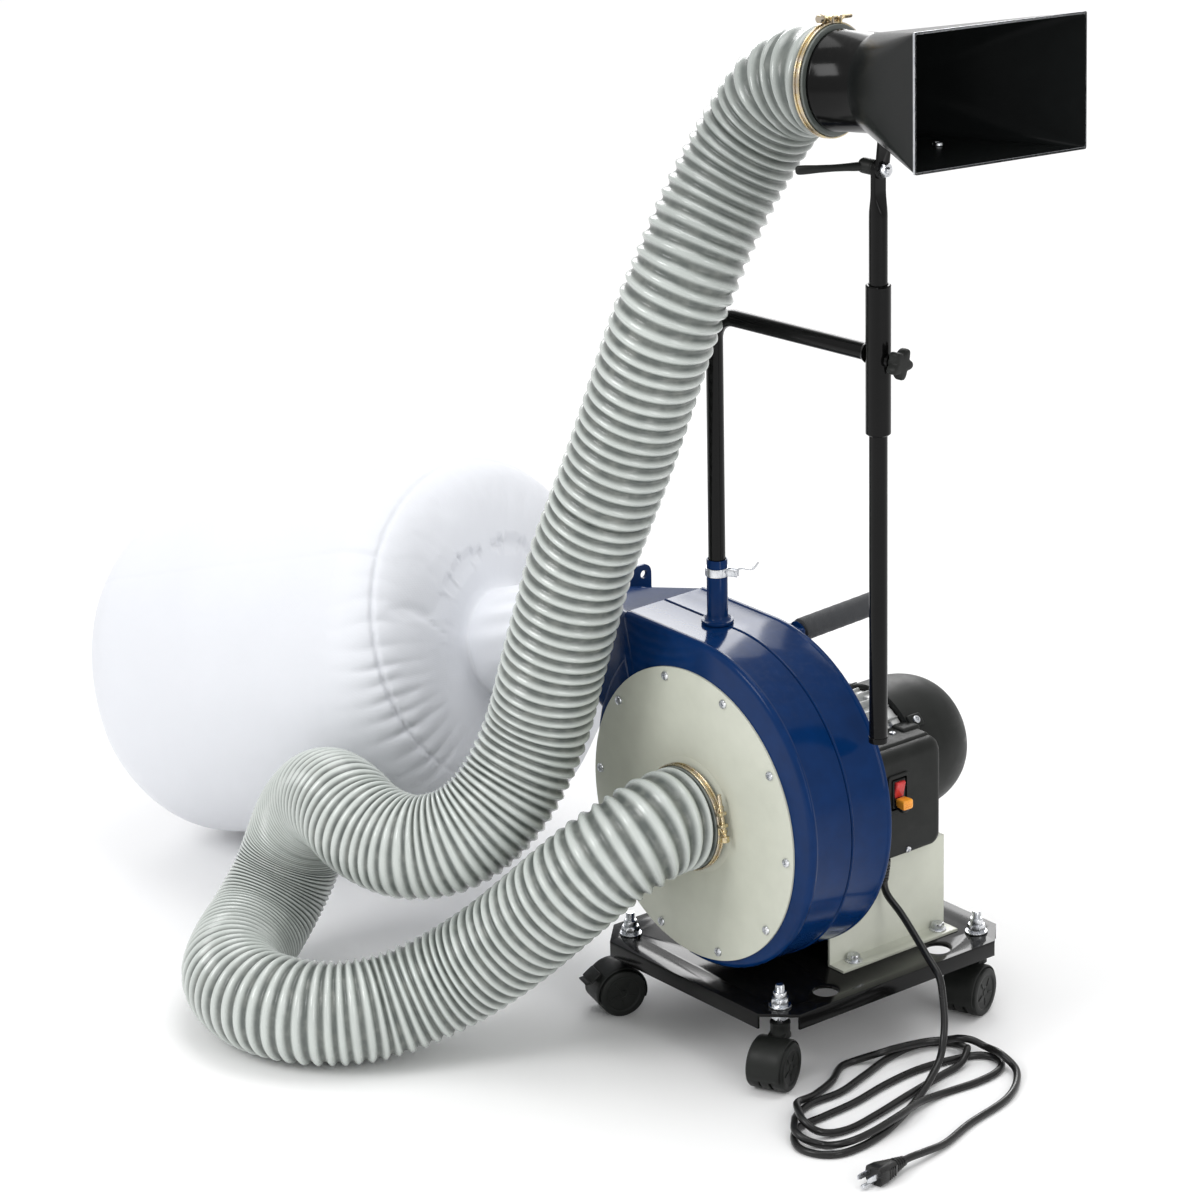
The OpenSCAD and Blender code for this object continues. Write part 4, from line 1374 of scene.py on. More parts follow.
    def build(self) -> None:
        points, wanted, depths, narrow = self.rings()
        seed = points_mesh(points, {"phase": ("FLOAT", wanted), "depth": ("FLOAT", depths),
            "narrow": ("FLOAT", narrow), "count": ("FLOAT", wanted)}, joined=True)
        whole = rib_tree().run(seed, Finish.HOSE, Radius=self.radius, Sides=self.sides)
        ribs = wanted[-1]
        cuts = [0.0]
        for height in (self.boom_from, self.post_from):
            cuts.append(next(w for p, w in zip(points, wanted) if p.z > height and p.x > -0.2
                and w == int(w)))
        cuts.append(ribs)
        pieces = []
        for name, first, last in zip(("lower", "middle", "upper"), cuts, cuts[1:]):
            shape = self.part(whole, first, last, points if name == "upper" else ())
            pieces.append(shape.piece(f"ribbed_hose_{name}", Finish.HOSE, f"hose_{name}", None, 75.0))
        at = {w: p for p, w in zip(points, wanted)}
        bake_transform(pieces[0], "blower", "boom", start=mm(-133, -230, 410), end=at[cuts[1]])
        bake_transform(pieces[1], "boom", "post", start=at[cuts[1]] + mm(0, 0, 30), end=mm(9, -112, 950))
        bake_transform(pieces[2], "post", "hood", start=at[cuts[2]] + mm(0, 0, 2), end=PLACE.hood_end(-0.006))
        route = [p for p, w in zip(points, wanted) if w <= cuts[1]]
        length = sum((b - a).length for a, b in zip(route, route[1:]))
        self.cuff(PLACE.shaft(PLACE.hose_start_y)).piece("inlet_cuff", Finish.HOSE)
        self.cuff(PLACE.collar()).piece("hood_cuff", Finish.HOSE, body=Body.HOOD)


@dataclass
class HoseClamp:
    """Twin-wire hose clamp with a long screw."""

    name: str
    node: str
    at: Matrix
    screw_angle: float
    body: Body
    ring: float = 0.0572
    wire: float = 0.0012

    def build(self) -> None:
        """Make the clamp."""
        made = Shape()
        for z in (0.0022, 0.0078):
            circle = [(self.ring - 0.0002 + self.wire * cos(a), z + self.wire * sin(a))
                for a in (tau * k / 10 for k in range(10))]
            made.lathe(circle, self.at, 96)
        made.lathe(band(55.9, 56.6, 3.2, 6.8, 0.2), self.at, 96)
        seat = self.at @ spin(self.screw_angle) @ shift(60.2, 0, 5)
        for y in (-9, 4):
            made.block(mm(8.6, 4.2, 9.6), seat @ shift(0, y, 0), 0.0012)
        along = seat @ shift(1.5, -30, 0) @ spin(-90, "X")
        screw = threaded(0.00225, 0.0, 0.046, 0.0014)
        made.lathe(screw, along, 20)
        made.nut(0.0076, 0.0056, along @ shift(0, 0, 46))
        made.lathe(band(0, 4.5, 45.5, 46.7, 0.3), along, 28)
        for y in (-16, 11):
            hook = [seat @ mm(-3.2, y * 0.4, s * 2.8) for s in (-1, 1)]
            made.tube([hook[0], seat @ mm(1.4, y, -2.8), seat @ mm(2.6, y, 0), seat @ mm(1.4, y, 2.8),
                hook[1]], self.wire, 10)
        made.piece(self.name, Finish.YELLOW_ZINC, self.node, self.body)


# ---- power cord


@dataclass
class PowerCord:
    """Mains lead from the switch box to its plug."""

    radius: float = 0.004
    route: tuple[Triple, ...] = ((94, 32, 170.5), (94, 32, 164.5), (99, 31, 156), (123, 30, 141),
        (147, 28, 124), (173, 24, 107), (194, 20, 94), (206, 14, 75), (215, 8, 55), (222, 0, 38),
        (231, -13, 24), (242, -36, 13), (254, -62, 6), (270, -96, 4), (290, -142, 4), (299, -186, 4),
        (296, -215, 4), (282, -230, 4), (261, -235, 4), (239, -224, 4), (224, -204, 4), (222, -170, 4),
        (219, -123, 4), (209, -70, 4), (205, -22, 4), (212, 24, 4), (223, 52, 4), (237, 59, 4),
        (253, 55, 4), (264, 38, 4), (268, 6, 4), (264, -40, 4), (269, -75, 8), (285, -118, 13),
        (295, -166, 13), (295, -196, 12), (285, -207, 8), (270, -212, 4), (258, -224, 9), (243, -225, 13),
        (224, -210, 13), (200, -184, 4), (191, -158, 4), (191, -118, 4), (178, -72, 4), (163, -22, 4),
        (160, 16, 4), (170, 40, 4), (188, 53, 4), (203, 49, 7), (219, 37, 14), (228, 20, 7), (232, -13, 4),
        (243, -69, 4), (255, -124, 4), (261, -167, 4), (257, -192, 6), (250, -205, 11), (235, -208, 18),
        (213, -196, 19), (188, -173, 10), (178, -143, 4), (166, -108, 4), (146, -76, 4), (145, -59, 4),
        (161, -35, 12), (165, -16, 13), (170, 23, 10), (183, 42, 11), (198, 45, 17), (210, 52, 17),
        (223, 59, 12), (251, 56, 14), (275, 54, 7), (294, 38, 4), (317, 2, 4), (334, -67, 4),
        (352, -119, 5), (357.5, -150, 8.5), (360, -174, 10.6), (361, -183, 10.6))

    def plug_frame(self) -> Matrix:
        """Return the plug's frame, +Z along the plug and +Y up."""
        a, b = mm(*self.route[-2]), mm(*self.route[-1])
        along = (b - a).normalized()
        side = Vector((0, 0, 1)).cross(along).normalized()
        turn = Matrix((side, along.cross(side), along)).transposed().to_4x4()
        return Matrix.Translation(b) @ turn

    def plug(self) -> list[Object]:
        """Make the moulded plug with its ribbed boot, and its pins."""
        at = self.plug_frame()
        made = Shape()
        boot = [(0.0, 0.0), (0.0052, 0.0)]
        for k in range(4):
            z, r = 0.0015 + k * 0.004, 0.0056 + k * 0.0008
            boot += [(r, z), (r, z + 0.0022), (r - 0.0011, z + 0.0026), (r - 0.0011, z + 0.0038)]
        made.lathe(boot + [(0.0078, 0.018), (0.0, 0.018)], at, 36)
        body = ((16, 13.5, 13.0), (17.5, 16.5, 15.5), (23, 18.5, 16.5), (30, 21, 18.5), (36, 23, 20.2),
            (44.8, 23.4, 20.6), (46, 21.8, 19))
        made.loft([(oblong(w * MM, h * MM, 0.006, 6), at @ shift(0, 0, z)) for z, w, h in body])
        for s in (-1, 1):
            for k in range(4):
                made.block(mm(1.0, 12, 1.4), at @ shift(s * (9.1 + k * 0.62), 0, 22 + k * 3.4)
                    @ spin(s * 9, "Y"), 0.0004)
        plug = [made.piece("plug_body", Finish.RUBBER, "plug")]
        pins = Shape()
        for x in (-6.5, 6.5):
            blade = [mm(-2, 0), mm(13, 0), mm(16.6, 1.2), mm(16.6, 4.8), mm(13, 6), mm(-2, 6)]
            pins.slab(blade, -0.0008, 0.0008, at @ shift(x, -1, 46) @ spin(-90, "Y") @ spin(180, "X")
                @ shift(0, -6, 0), 0.0002)
        rod = fillet(scaled(((0, -1), (2.4, -1), (2.4, 16.5), (0.8, 18.8), (0, 18.8))), 0.0008)
        pins.lathe(rod, at @ shift(0, -6, 46), 24)
        return plug + [pins.piece("plug_pins", Finish.ZINC)]

    def build(self) -> None:
        """Make the lead, its strain relief and its plug."""
        line = smooth_route(scaled(self.route), 0.004)
        lead = Shape().tube(line, self.radius, 16).piece("mains_lead", Finish.RUBBER, "power_cord")
        length = sum((b - a).length for a, b in zip(line, line[1:]))
        self.plug()
        top = Matrix.Translation(line[0])
        sleeve = [(0.0, -0.001), (0.0044, -0.001)]
        for k in range(5):
            z, r = k * 0.0036, 0.0049 + k * 0.00045
            sleeve += [(r, z + 0.0003), (r, z + 0.0022), (r - 0.0009, z + 0.0025), (r - 0.0009, z + 0.0035)]
        sleeve += [(0.0069, 0.0188), (0.0069, 0.0225), (0.0, 0.0225)]
        Shape().lathe(sleeve, top, 32).piece("cord_sleeve", Finish.RUBBER, "strain_relief")


# ---- caster base


@dataclass
class Caster:
    """Twin-wheel caster with a moulded guard."""

    number: int
    stud: Pair
    heading: float
    brake: bool = False
    wheel: float = 26.5
    guard: float = 29.5
    width: float = 19.0
    trail: float = 18.0
    neck_top: float = 69.5

    def frame(self) -> Matrix:
        """Return the caster's frame, +X along its trail."""
        return shift(self.stud[0], self.stud[1], 0) @ spin(self.heading)

    def axle(self) -> Matrix:
        """Return a frame on the axle, +Z along it."""
        return self.frame() @ shift(self.trail, 0, self.wheel) @ spin(90, "X")

    def guard_shell(self, made: Shape) -> None:
        """Add the arched guard over the wheels."""
        rim, inner, w = self.guard, self.wheel + 1.2, self.width
        line = [(inner, w - 0.6), (rim - 1.6, w), (rim - 0.5, w - 0.7), (rim, w - 2.2), (rim, w - 6),
            (rim, -w + 6), (rim, -w + 2.2), (rim - 0.5, -w + 0.7), (rim - 1.6, -w), (inner, -w + 0.6)]
        rings = []
        for k in range(49):
            a = radians(-18 + 216 * k / 48)
            ease = min(1.0, k / 2.0, (48 - k) / 2.0)
            ring = []
            for r, y in line:
                r = inner + (r - inner) * (0.55 + 0.45 * ease)
                ring.append(self.axle() @ mm(r * cos(a), r * sin(a), y))
            rings.append(ring)
        made.skin(rings)

    def build(self) -> None:
        """Make the guard with its neck and web, and the pair of wheels."""
        at = self.frame()
        made = Shape()
        self.guard_shell(made)
        web = fillet([(0, -5.4), (20, -5.4), (27.8, -5), (27.8, 5), (20, 5.4), (0, 5.4)], 1.0)
        made.lathe([p * MM for p in web], self.axle() @ shift(0, 1.5, 0), 72)
        neck = [(0, 52), (11.6, 52), (11.6, 55), (10.6, 57), (10.6, 66), (11.0, 67),
            (11.0, self.neck_top - 0.8), (10.2, self.neck_top), (0, self.neck_top)]
        made.lathe(scaled(neck), at, 48)
        for s in (-1, 1):
            made.block(mm(26, 3.2, 9), at @ shift(7, s * 8, 53) @ spin(22, "Y"), 0.0012)
        if self.brake:
            made.block(mm(15, 24, 3.4), at @ shift(self.trail + 28, 0, 46) @ spin(38, "Y"), 0.0014)
            made.block(mm(7, 20, 2.6), at @ shift(self.trail + 36, 0, 40.5) @ spin(8, "Y"), 0.0012)
        name = f"caster_guard_{self.number}"
        made.piece(name, Finish.PLASTIC, f"caster_body_{self.number}", f"caster_{self.number}", 32.0)
        wheels = Shape()
        disc = [(0, 20.6), (3.6, 20.6), (4.4, 19.8), (5.2, 20.1), (18.0, 20.2), (19.0, 21.1), (19.8, 21.4),
            (24.0, 21.4), (25.6, 20.7), (26.5, 19.2), (26.5, 8.7), (25.8, 7.4), (23, 6.9), (0, 6.9)]
        for s in (-1, 1):
            side = self.axle() @ (HERE if s > 0 else spin(180, "X"))
            wheels.lathe(scaled(disc), side, 72)
            for k in range(5):
                wheels.block(mm(9, 2.0, 1.0), side @ spin(72 * k + 18) @ shift(11, 0, 20.3), 0.0004)
        wheels.lathe(bar(2.9, -7, 7), self.axle(), 24)
        name = f"caster_wheel_pair_{self.number}"
        wheels.piece(name, Finish.PLASTIC, f"caster_wheels_{self.number}", f"wheels_{self.number}", 32.0)


@dataclass
class CasterBase:
    """Enamelled base plate on four swivel casters."""

    frame: dict[str, Any]
    fixings: Fixings
    stud_x: float = 122.0
    stud_y: float = 140.0

    def casters(self) -> list[Caster]:
        """Return the four casters as they stand."""
        x, y = self.stud_x, self.stud_y
        return [Caster(1, (x, -y), -65), Caster(2, (x, y), -70), Caster(3, (-x, -y), -107, True),
            Caster(4, (-x, y), -80)]

    def build(self) -> None:
        """Make the plate, the studs with their nuts, and the casters."""
        plate = dressed(self.frame, "base_plate", 0.0009)
        plate.piece("enamelled_plate", Finish.BLACK, "base_plate", crease=30.0)
        corners = [mm(x, y, 86) for x in (-self.stud_x, self.stud_x) for y in (-self.stud_y, self.stud_y)]
        up, turns = [(0, 0, 1)] * 4, [0.3, 1.1, 0.8, 0.1]
        post = self.fixings.stud(0.017, 0.008, 0.012, 0.005, 0.025)
        collar = scaled(((0, 9.8), (7.2, 9.8), (7.2, 15.8), (6.4, 17), (0, 17)))
        post.lathe(fillet(collar, 0.0005), HERE, 40)
        above = self.fixings.set_at(post, corners, up, turns)
        lock = Shape().nut(0.017, 0.0095, HERE)
        lock.lathe(scaled(((0, -16), (5, -16), (5, 12), (0, 12))), HERE, 28)
        below = self.fixings.set_at(lock, [c - mm(0, 0, 13.3) for c in corners], up, turns)
        above.add(below).piece("caster_stud_nuts", Finish.ZINC, "caster_studs")
        for caster in self.casters():
            caster.build()


# ---- blower


@dataclass
class Blower:
    """Scroll housing in two shells, its cover plate and its inlet."""

    frame: dict[str, Any]
    fixings: Fixings
    centre: Pair = (7.0, 283.5)
    scroll: float = 180.0
    left_centre: Pair = (30.0, 290.0)
    left_scroll: float = 190.0
    duct_x: float = -110.0
    duct_floor: float = 315.5
    top: float = 463.5
    screws: int = 10
    screw_ring: float = 0.150
    front_profile: tuple[Pair, ...] = ((-6.5, -151.5), (-4.6, -151.3), (-2.4, -150.6), (-0.7, -149.4),
        (0.5, -147.8), (1.1, -146.2), (0.9, -144.9), (0.25, -144.0), (0.0, -142.8), (0.0, -97.6),
        (-0.5, -96.9), (-1.2, -96.6))
    rear_profile: tuple[Pair, ...] = ((-1.2, -96.5), (0.0, -96.3), (0.9, -95.7), (1.1, -95.0), (0.8, -94.3),
        (0.15, -93.8), (0.0, -92.8), (0.0, -48.6), (0.3, -47.6), (1.0, -46.7), (1.2, -45.4), (1.2, -43.4),
        (0.6, -42.2), (-1.0, -41.5))

    def reach(self, angle: float, grow: float) -> float:
        """Return the outline's distance from its centre, in millimetres.

        Args:
            angle: The direction, from +X and upwards.
            grow: How far the outline is moved outwards.

        Returns:
            The distance.
        """
        ux, uz = cos(angle), sin(angle)
        ox, oz = self.centre[0] - self.left_centre[0], self.centre[1] - self.left_centre[1]
        along = ox * ux + oz * uz
        rest = (self.left_scroll + grow) ** 2 - (ox * ox + oz * oz - along * along)
        round_part = min(self.scroll + grow, sqrt(rest) - along)
        if ux > -1e-6 or uz <= 0:
            return round_part
        out = min((self.duct_x - self.centre[0]) / ux, (self.top + grow - self.centre[1]) / uz)
        inside = self.centre[1] + out * uz > self.duct_floor
        return max(round_part, out) if inside else round_part

    def angles(self) -> list[float]:
        """Return the directions of the outline's points, with the duct's corners among them."""
        turns = [tau * k / 320 for k in range(320)]
        for z in (self.duct_floor + 0.01, self.top):
            turns.append(atan2(z - self.centre[1], self.duct_x - self.centre[0]))
        return sorted(turns)

    def shell(self, profile: Sequence[Point]) -> Shape:
        """Return one half of the housing from its profile."""
        sections = []
        for grow, y in profile:
            outline = [mm(self.centre[0] + self.reach(a, grow) * cos(a), self.centre[1]
                + self.reach(a, grow) * sin(a)) for a in self.angles()]
            sections.append((outline, upright(y * MM)))
        return Shape().loft(sections)

    def build(self) -> None:
        """Make the shells, the cover plate with its screws, and the inlet."""
        self.shell(self.front_profile).piece("housing_shell_front", Finish.NAVY, "housing_front_half",
            crease=35.0)
        self.shell(self.rear_profile).piece("housing_shell_rear", Finish.NAVY, "housing_rear_half",
            crease=35.0)
        at = PLACE.shaft(PLACE.inlet_y)
        disc = fillet(scaled(((47, 2.4), (47, 0), (160, 0), (160, 2.4))), 0.0007)
        Shape().lathe(disc, at, 180).piece("cover_disc", Finish.CREAM, "cover_plate")
        root = scaled(((47, 1.5), (47, -13.8), (48.2, -14), (49.6, -13.6), (50, -12.6), (50, -4),
            (50.6, -2.6), (52.4, -1.5), (55.6, -0.8), (60, -0.4), (63.2, -0.1), (63.2, 1.5)))
        Shape().lathe(root, at, 96).piece("inlet_ring", Finish.CREAM, "inlet_collar")
        places, turns = [], []
        for k in range(self.screws):
            a = radians(141.6 - 360 / self.screws * k)
            places.append((self.screw_ring * cos(a), PLACE.inlet_y, PLACE.axis_z + self.screw_ring
                * sin(a)))
            turns.append(0.7 * k + 0.2)
        heads = self.fixings.set_at(self.fixings.pan_head(0.0049), places, [(0, -1, 0)] * self.screws,
            turns)
        heads.piece("cover_screws", Finish.ZINC)
        HoseClamp("inlet_wire_clamp", "inlet_clamp", PLACE.shaft(PLACE.hose_start_y), -12.0,
            Body.BLOWER).build()


@dataclass
class Outlet:
    """Duct from the housing to a square flange and the bag's neck."""

    rect_x: float = -110.0
    floor: float = 315.5
    top: float = 463.5
    mid_y: float = -96.5
    mid_z: float = 396.5
    flange_x: float = -208.0
    flange: float = 130.0
    holes: float = 108.0
    hole: float = 4.5
    neck: float = 51.0

    def across(self, x: float) -> Matrix:
        """Return a frame at x that looks along -X, with +Y up."""
        turn = Matrix(((0, 0, -1), (1, 0, 0), (0, 1, 0))).to_4x4()
        return shift(x, self.mid_y, self.mid_z) @ turn

    def duct(self) -> Shape:
        """Return the transition from the housing's rectangle to a circle."""
        middle = (self.floor + self.top) / 2
        sections = []
        rectangle = oblong(0.1098, (self.top - self.floor) * MM, 0.004, 12)
        circle = oblong(0.106, 0.106, 0.053, 12)
        lift = (middle - self.mid_z) * MM
        for k in range(13):
            t = k / 12
            outline = [a.lerp(b, t) + Vector((0, lift * (1 - t))) for a, b in zip(rectangle, circle)]
            sections.append((outline, self.across(self.rect_x + 1 + (self.flange_x - self.rect_x) * t)))
        return Shape().loft(sections)

    def build(self) -> None:
        """Make the duct, its drilled flange, the neck and the strap."""
        made = self.duct()
        plate = Shape().slab(oblong(self.flange * MM, self.flange * MM, 0.011, 8), 0, 0.004,
            self.across(self.flange_x), 0.0006)
        drill = Shape()
        for y in (-1, 1):
            for z in (-1, 1):
                hole = [(0, -0.002), (self.hole * MM, -0.002), (self.hole * MM, 0.006), (0, 0.006)]
                drill.lathe(hole, self.across(self.flange_x) @ shift(y * self.holes / 2, z * self.holes / 2,
                    0), 32)
        made.copy(cut(plate, drill).mesh("flange"))
        r = self.neck * MM
        tube = [(r - 0.0025, 0.004), (r, 0.004), (r, 0.0485), (r + 0.0008, 0.0505), (r + 0.0008, 0.0545),
            (r - 0.0004, 0.056), (r - 0.0025, 0.056)]
        made.lathe(tube, self.across(self.flange_x), 96)
        made.piece("outlet_transition", Finish.NAVY, "outlet_duct", crease=32.0)
        strap = Shape()
        strap.lathe(band(52.5, 54.8, 0, 12, 0.6), self.across(-249), 96)
        seat = self.across(-249) @ spin(70) @ shift(56.5, 0, 6)
        strap.block(mm(6, 18, 10), seat, 0.001)
        strap.lathe(threaded(0.0022, 0, 0.03), seat @ shift(1, -16, 0) @ spin(-90, "X"), 20)
        strap.piece("neck_strap", Finish.ZINC, "bag_strap")


# ---- filter bag


@dataclass
class FilterBag:
    """Inflated filter bag with a sewn end panel and a gathered sleeve."""

    near: float = 0.214
    far: float = 0.198
    length: float = 0.518
    rounding: float = 0.072
    sleeve: float = 0.062
    sides: int = 184
    shrink: float = 0.985
    most: float = 0.014
    seam: float = 0.183
    seam_lean: float = 0.026
    far_seam: float = 0.018
    side_seam: float = 2.37
    gathers: int = 27

    def profile(self) -> list[Pair]:
        """Return radius and length pairs from the sleeve to the far end's middle."""
        r, near, far, end = self.rounding, self.near, self.far, self.length
        inner = near - r - self.sleeve
        line = [(self.sleeve + inner * k / 8, 0.003) for k in range(1, 9)]
        for k in range(1, 25):
            a = pi / 2 * k / 24
            line.append((near - r + r * sin(a), 0.003 + (r - 0.003) * (1 - cos(a))))
        for k in range(1, 32):
            t = (k / 32) ** 1.2
            line.append((near + (far - near) * t, r + (end - 2 * r) * t))
        for k in range(13):
            a = pi / 2 * k / 12
            line.append((far - r + r * cos(a), end - r + r * sin(a)))
        return line + [((far - r) * (1 - k / 9) + 0.002 * k / 9, end) for k in range(1, 10)]

    def sleeve_rings(self) -> list[list[Vector]]:
        """Return the rings of the sleeve, from the outlet's neck to the bag."""
        start, end = Outlet().across(-251), PLACE.bag()
        back = end.to_3x3().inverted() @ start.to_3x3()
        rings = []
        for k in range(15):
            t = k / 14
            ease = t * t * (3 - 2 * t)
            swell = 0.0535 + (self.sleeve - 0.0535) * ease
            ring = []
            for j in range(self.sides):
                a = tau * j / self.sides
                out = Vector((cos(a), sin(a), 0))
                depth = 0.035 * sin(pi * min(1.0, t * 1.1 + 0.05))
                fold = 1 + depth * sin(13 * a + 2 * t) * (0.6 + 0.4 * sin(3 * a + 1))
                turned = back @ out
                turned.z = 0
                first = start @ (out * swell * fold)
                last = end @ (turned.normalized() * swell * fold)
                ring.append(first.lerp(last, ease))
            rings.append(ring)
        return rings

    def shell(self) -> Object:
        """Return the bag before it is blown up, with the points of its sleeve held still."""
        rings = self.sleeve_rings()
        frame, back = PLACE.bag(), PLACE.bag().to_3x3().inverted() @ Outlet().across(0).to_3x3()
        for r, z in self.profile():
            ring = []
            for j in range(self.sides):
                a = tau * j / self.sides
                turned = back @ Vector((cos(a), sin(a), 0))
                turned.z = 0
                ring.append(frame @ (turned.normalized() * r * self.shrink + Vector((0, 0, z))))
            rings.append(ring)
        n = self.sides
        verts = [p for ring in rings for p in ring]
        faces = [(i * n + k, i * n + (k + 1) % n, (i + 1) * n + (k + 1) % n, (i + 1) * n + k)
            for i in range(len(rings) - 1) for k in range(n)]
        faces += [tuple(range(n - 1, -1, -1)), tuple(range((len(rings) - 1) * n, len(rings) * n))]
        mesh = bpy.data.meshes.new("filter_bag")
        mesh.from_pydata(verts, [], faces)
        shape = Shape()
        shape.bm.from_mesh(mesh)
        bmesh.ops.recalc_face_normals(shape.bm, faces=shape.bm.faces)
        shape.bm.to_mesh(mesh)
        shape.bm.free()
        obj = link("filter_bag", mesh)
        held = obj.vertex_groups.new(name="held")
        fixed = list(range(16 * n))
        held.add(fixed, 1.0, "REPLACE")
        return obj

    def blow_up(self, obj: Object) -> None:
        """Blow the bag up with the cloth solver, and keep the result."""
        start = [v.co.copy() for v in obj.data.vertices]
        cloth = obj.modifiers.new("cloth", "CLOTH")
        settings = cloth.settings
        settings.quality = 6
        settings.mass = 0.25
        settings.tension_stiffness = settings.compression_stiffness = 28.0
        settings.shear_stiffness = 12.0
        settings.bending_stiffness = 0.4
        settings.use_pressure = True
        settings.uniform_pressure_force = 4.0
        settings.vertex_group_mass = "held"
        settings.effector_weights.gravity = 0.0
        cloth.collision_settings.use_collision = False
        scene = bpy.context.scene
        for k in range(1, 21):
            scene.frame_set(k)
        made = applied(obj)
        moved = [v.co.copy() for v in made.vertices]
        obj.modifiers.remove(cloth)
        scene.frame_set(1)
        farthest = 0.0
        for vertex, a, b in zip(obj.data.vertices, start, moved):
            step = b - a
            farthest = max(farthest, step.length)
            if step.length > self.most:
                step *= self.most / step.length
            vertex.co = a + step
        LOG.info("filter bag: the cloth moved %.1f mm at most", farthest / MM)

    def along_skin(self, p: Vector) -> float:
        """Return a point's distance from the bag's axis, measured over its skin."""
        r, bend = hypot(p.x, p.y), self.near - self.rounding
        if p.z > self.rounding:
            return bend + self.rounding * pi / 2 + p.z - self.rounding
        if r < bend:
            return r
        return bend + self.rounding * atan2(r - bend, self.rounding - p.z + 0.003)

    def sew(self, mesh: Mesh) -> None:
        """Add the seams with their gathers, the creases and the weave's coordinates."""
        frame = PLACE.bag().inverted()
        mesh.update()
        normals = [v.normal.copy() for v in mesh.vertices]
        stitch = mesh.attributes.new("stitch", "FLOAT", "POINT")
        for i, vertex in enumerate(mesh.vertices):
            p = frame @ vertex.co
            a = atan2(p.y, p.x)
            on_bag = 1.0 if p.z > 0.0005 and hypot(p.x, p.y) > self.sleeve * 1.04 else 0.0
            along = self.along_skin(p)
            off = along - self.seam + self.seam_lean * cos(a)
            shown = 0.22 + 0.78 / (1 + exp(min(30.0, (abs(a - 1.9) - 0.8) / 0.09)))
            near = exp(-(off / 0.0026) ** 2) * on_bag * shown
            far = exp(-((p.z - self.length + self.far_seam) / 0.0035) ** 2)
            side = (a - self.side_seam - 0.0006 * sin(p.z * 30)) * self.near
            length = exp(-(side / 0.003) ** 2) * on_bag if off > 0 else 0.0
            length *= 0.25 + 0.75 * exp(-(max(0.0, off) / 0.05) ** 2)
            low = 0.16 + 0.84 * exp(-((a - 1.45) / 0.62) ** 2)
            phase = a * self.gathers + 1.6 * noise.noise(Vector((a * 3.0, off * 14.0, 0.5)))
            pleat = abs(sin(phase)) ** 0.8 - 0.62
            reach = 0.026 if off > 0 else 0.020
            fade = exp(-abs(off) / reach) * min(1.0, abs(off) / 0.003)
            puckers = 0.0068 * pleat * fade * low * (0.7 + 0.6 * noise.noise(Vector((a * 9.0, 2.0, 4.0))))
            wide = noise.noise(Vector((cos(a) * 2.2, sin(a) * 2.2, p.z * 5.0)))
            panel = noise.noise(Vector((p.x * 11.0, p.y * 11.0, 3.0))) if off < 0 else 0.0
            fold = exp(-((a - 1.95 - along * 1.2) / 0.05) ** 2) * exp(-((along - 0.13) / 0.03) ** 2)
            full = exp(-((abs(a) - pi) / 0.95) ** 2) * exp(-((along - 0.19) / 0.075) ** 2)
            lift = 0.0022 * wide + on_bag * (puckers + 0.0022 * panel - 0.0022 * fold + 0.0105 * full)
            lift -= 0.0030 * near + 0.0022 * far + 0.0016 * length
            vertex.co += normals[i] * lift
            stitch.data[i].value = max(near, far, length)
        self.unwrap(mesh)

    def unwrap(self, mesh: Mesh) -> None:
        """Lay the weave's coordinates round and along the bag, in metres."""
        frame = PLACE.bag().inverted()
        layer = mesh.uv_layers.get("weave") or mesh.uv_layers.new(name="weave")
        for face in mesh.polygons:
            angles = []
            for corner in face.loop_indices:
                p = frame @ mesh.vertices[mesh.loops[corner].vertex_index].co
                angles.append((atan2(p.y, p.x), p.z + max(0.0, 0.2 - hypot(p.x, p.y))))
            first = angles[0][0]
            for corner, (a, along) in zip(face.loop_indices, angles):
                turn = first + (a - first + pi) % tau - pi
                layer.data[corner].uv = (turn * self.near, along)

    def build(self) -> None:
        """Make the bag."""
        obj = self.shell()
        self.blow_up(obj)
        finer = obj.modifiers.new("finer", "SUBSURF")
        finer.levels = finer.render_levels = 1
        mesh = applied(obj)
        drop(obj)
        self.sew(mesh)
        mesh.polygons.foreach_set("use_smooth", [True] * len(mesh.polygons))
        bag = settle(link("sewn_filter_bag", mesh), Finish.CLOTH, "dust_bag", Body.BLOWER)


# ---- motor


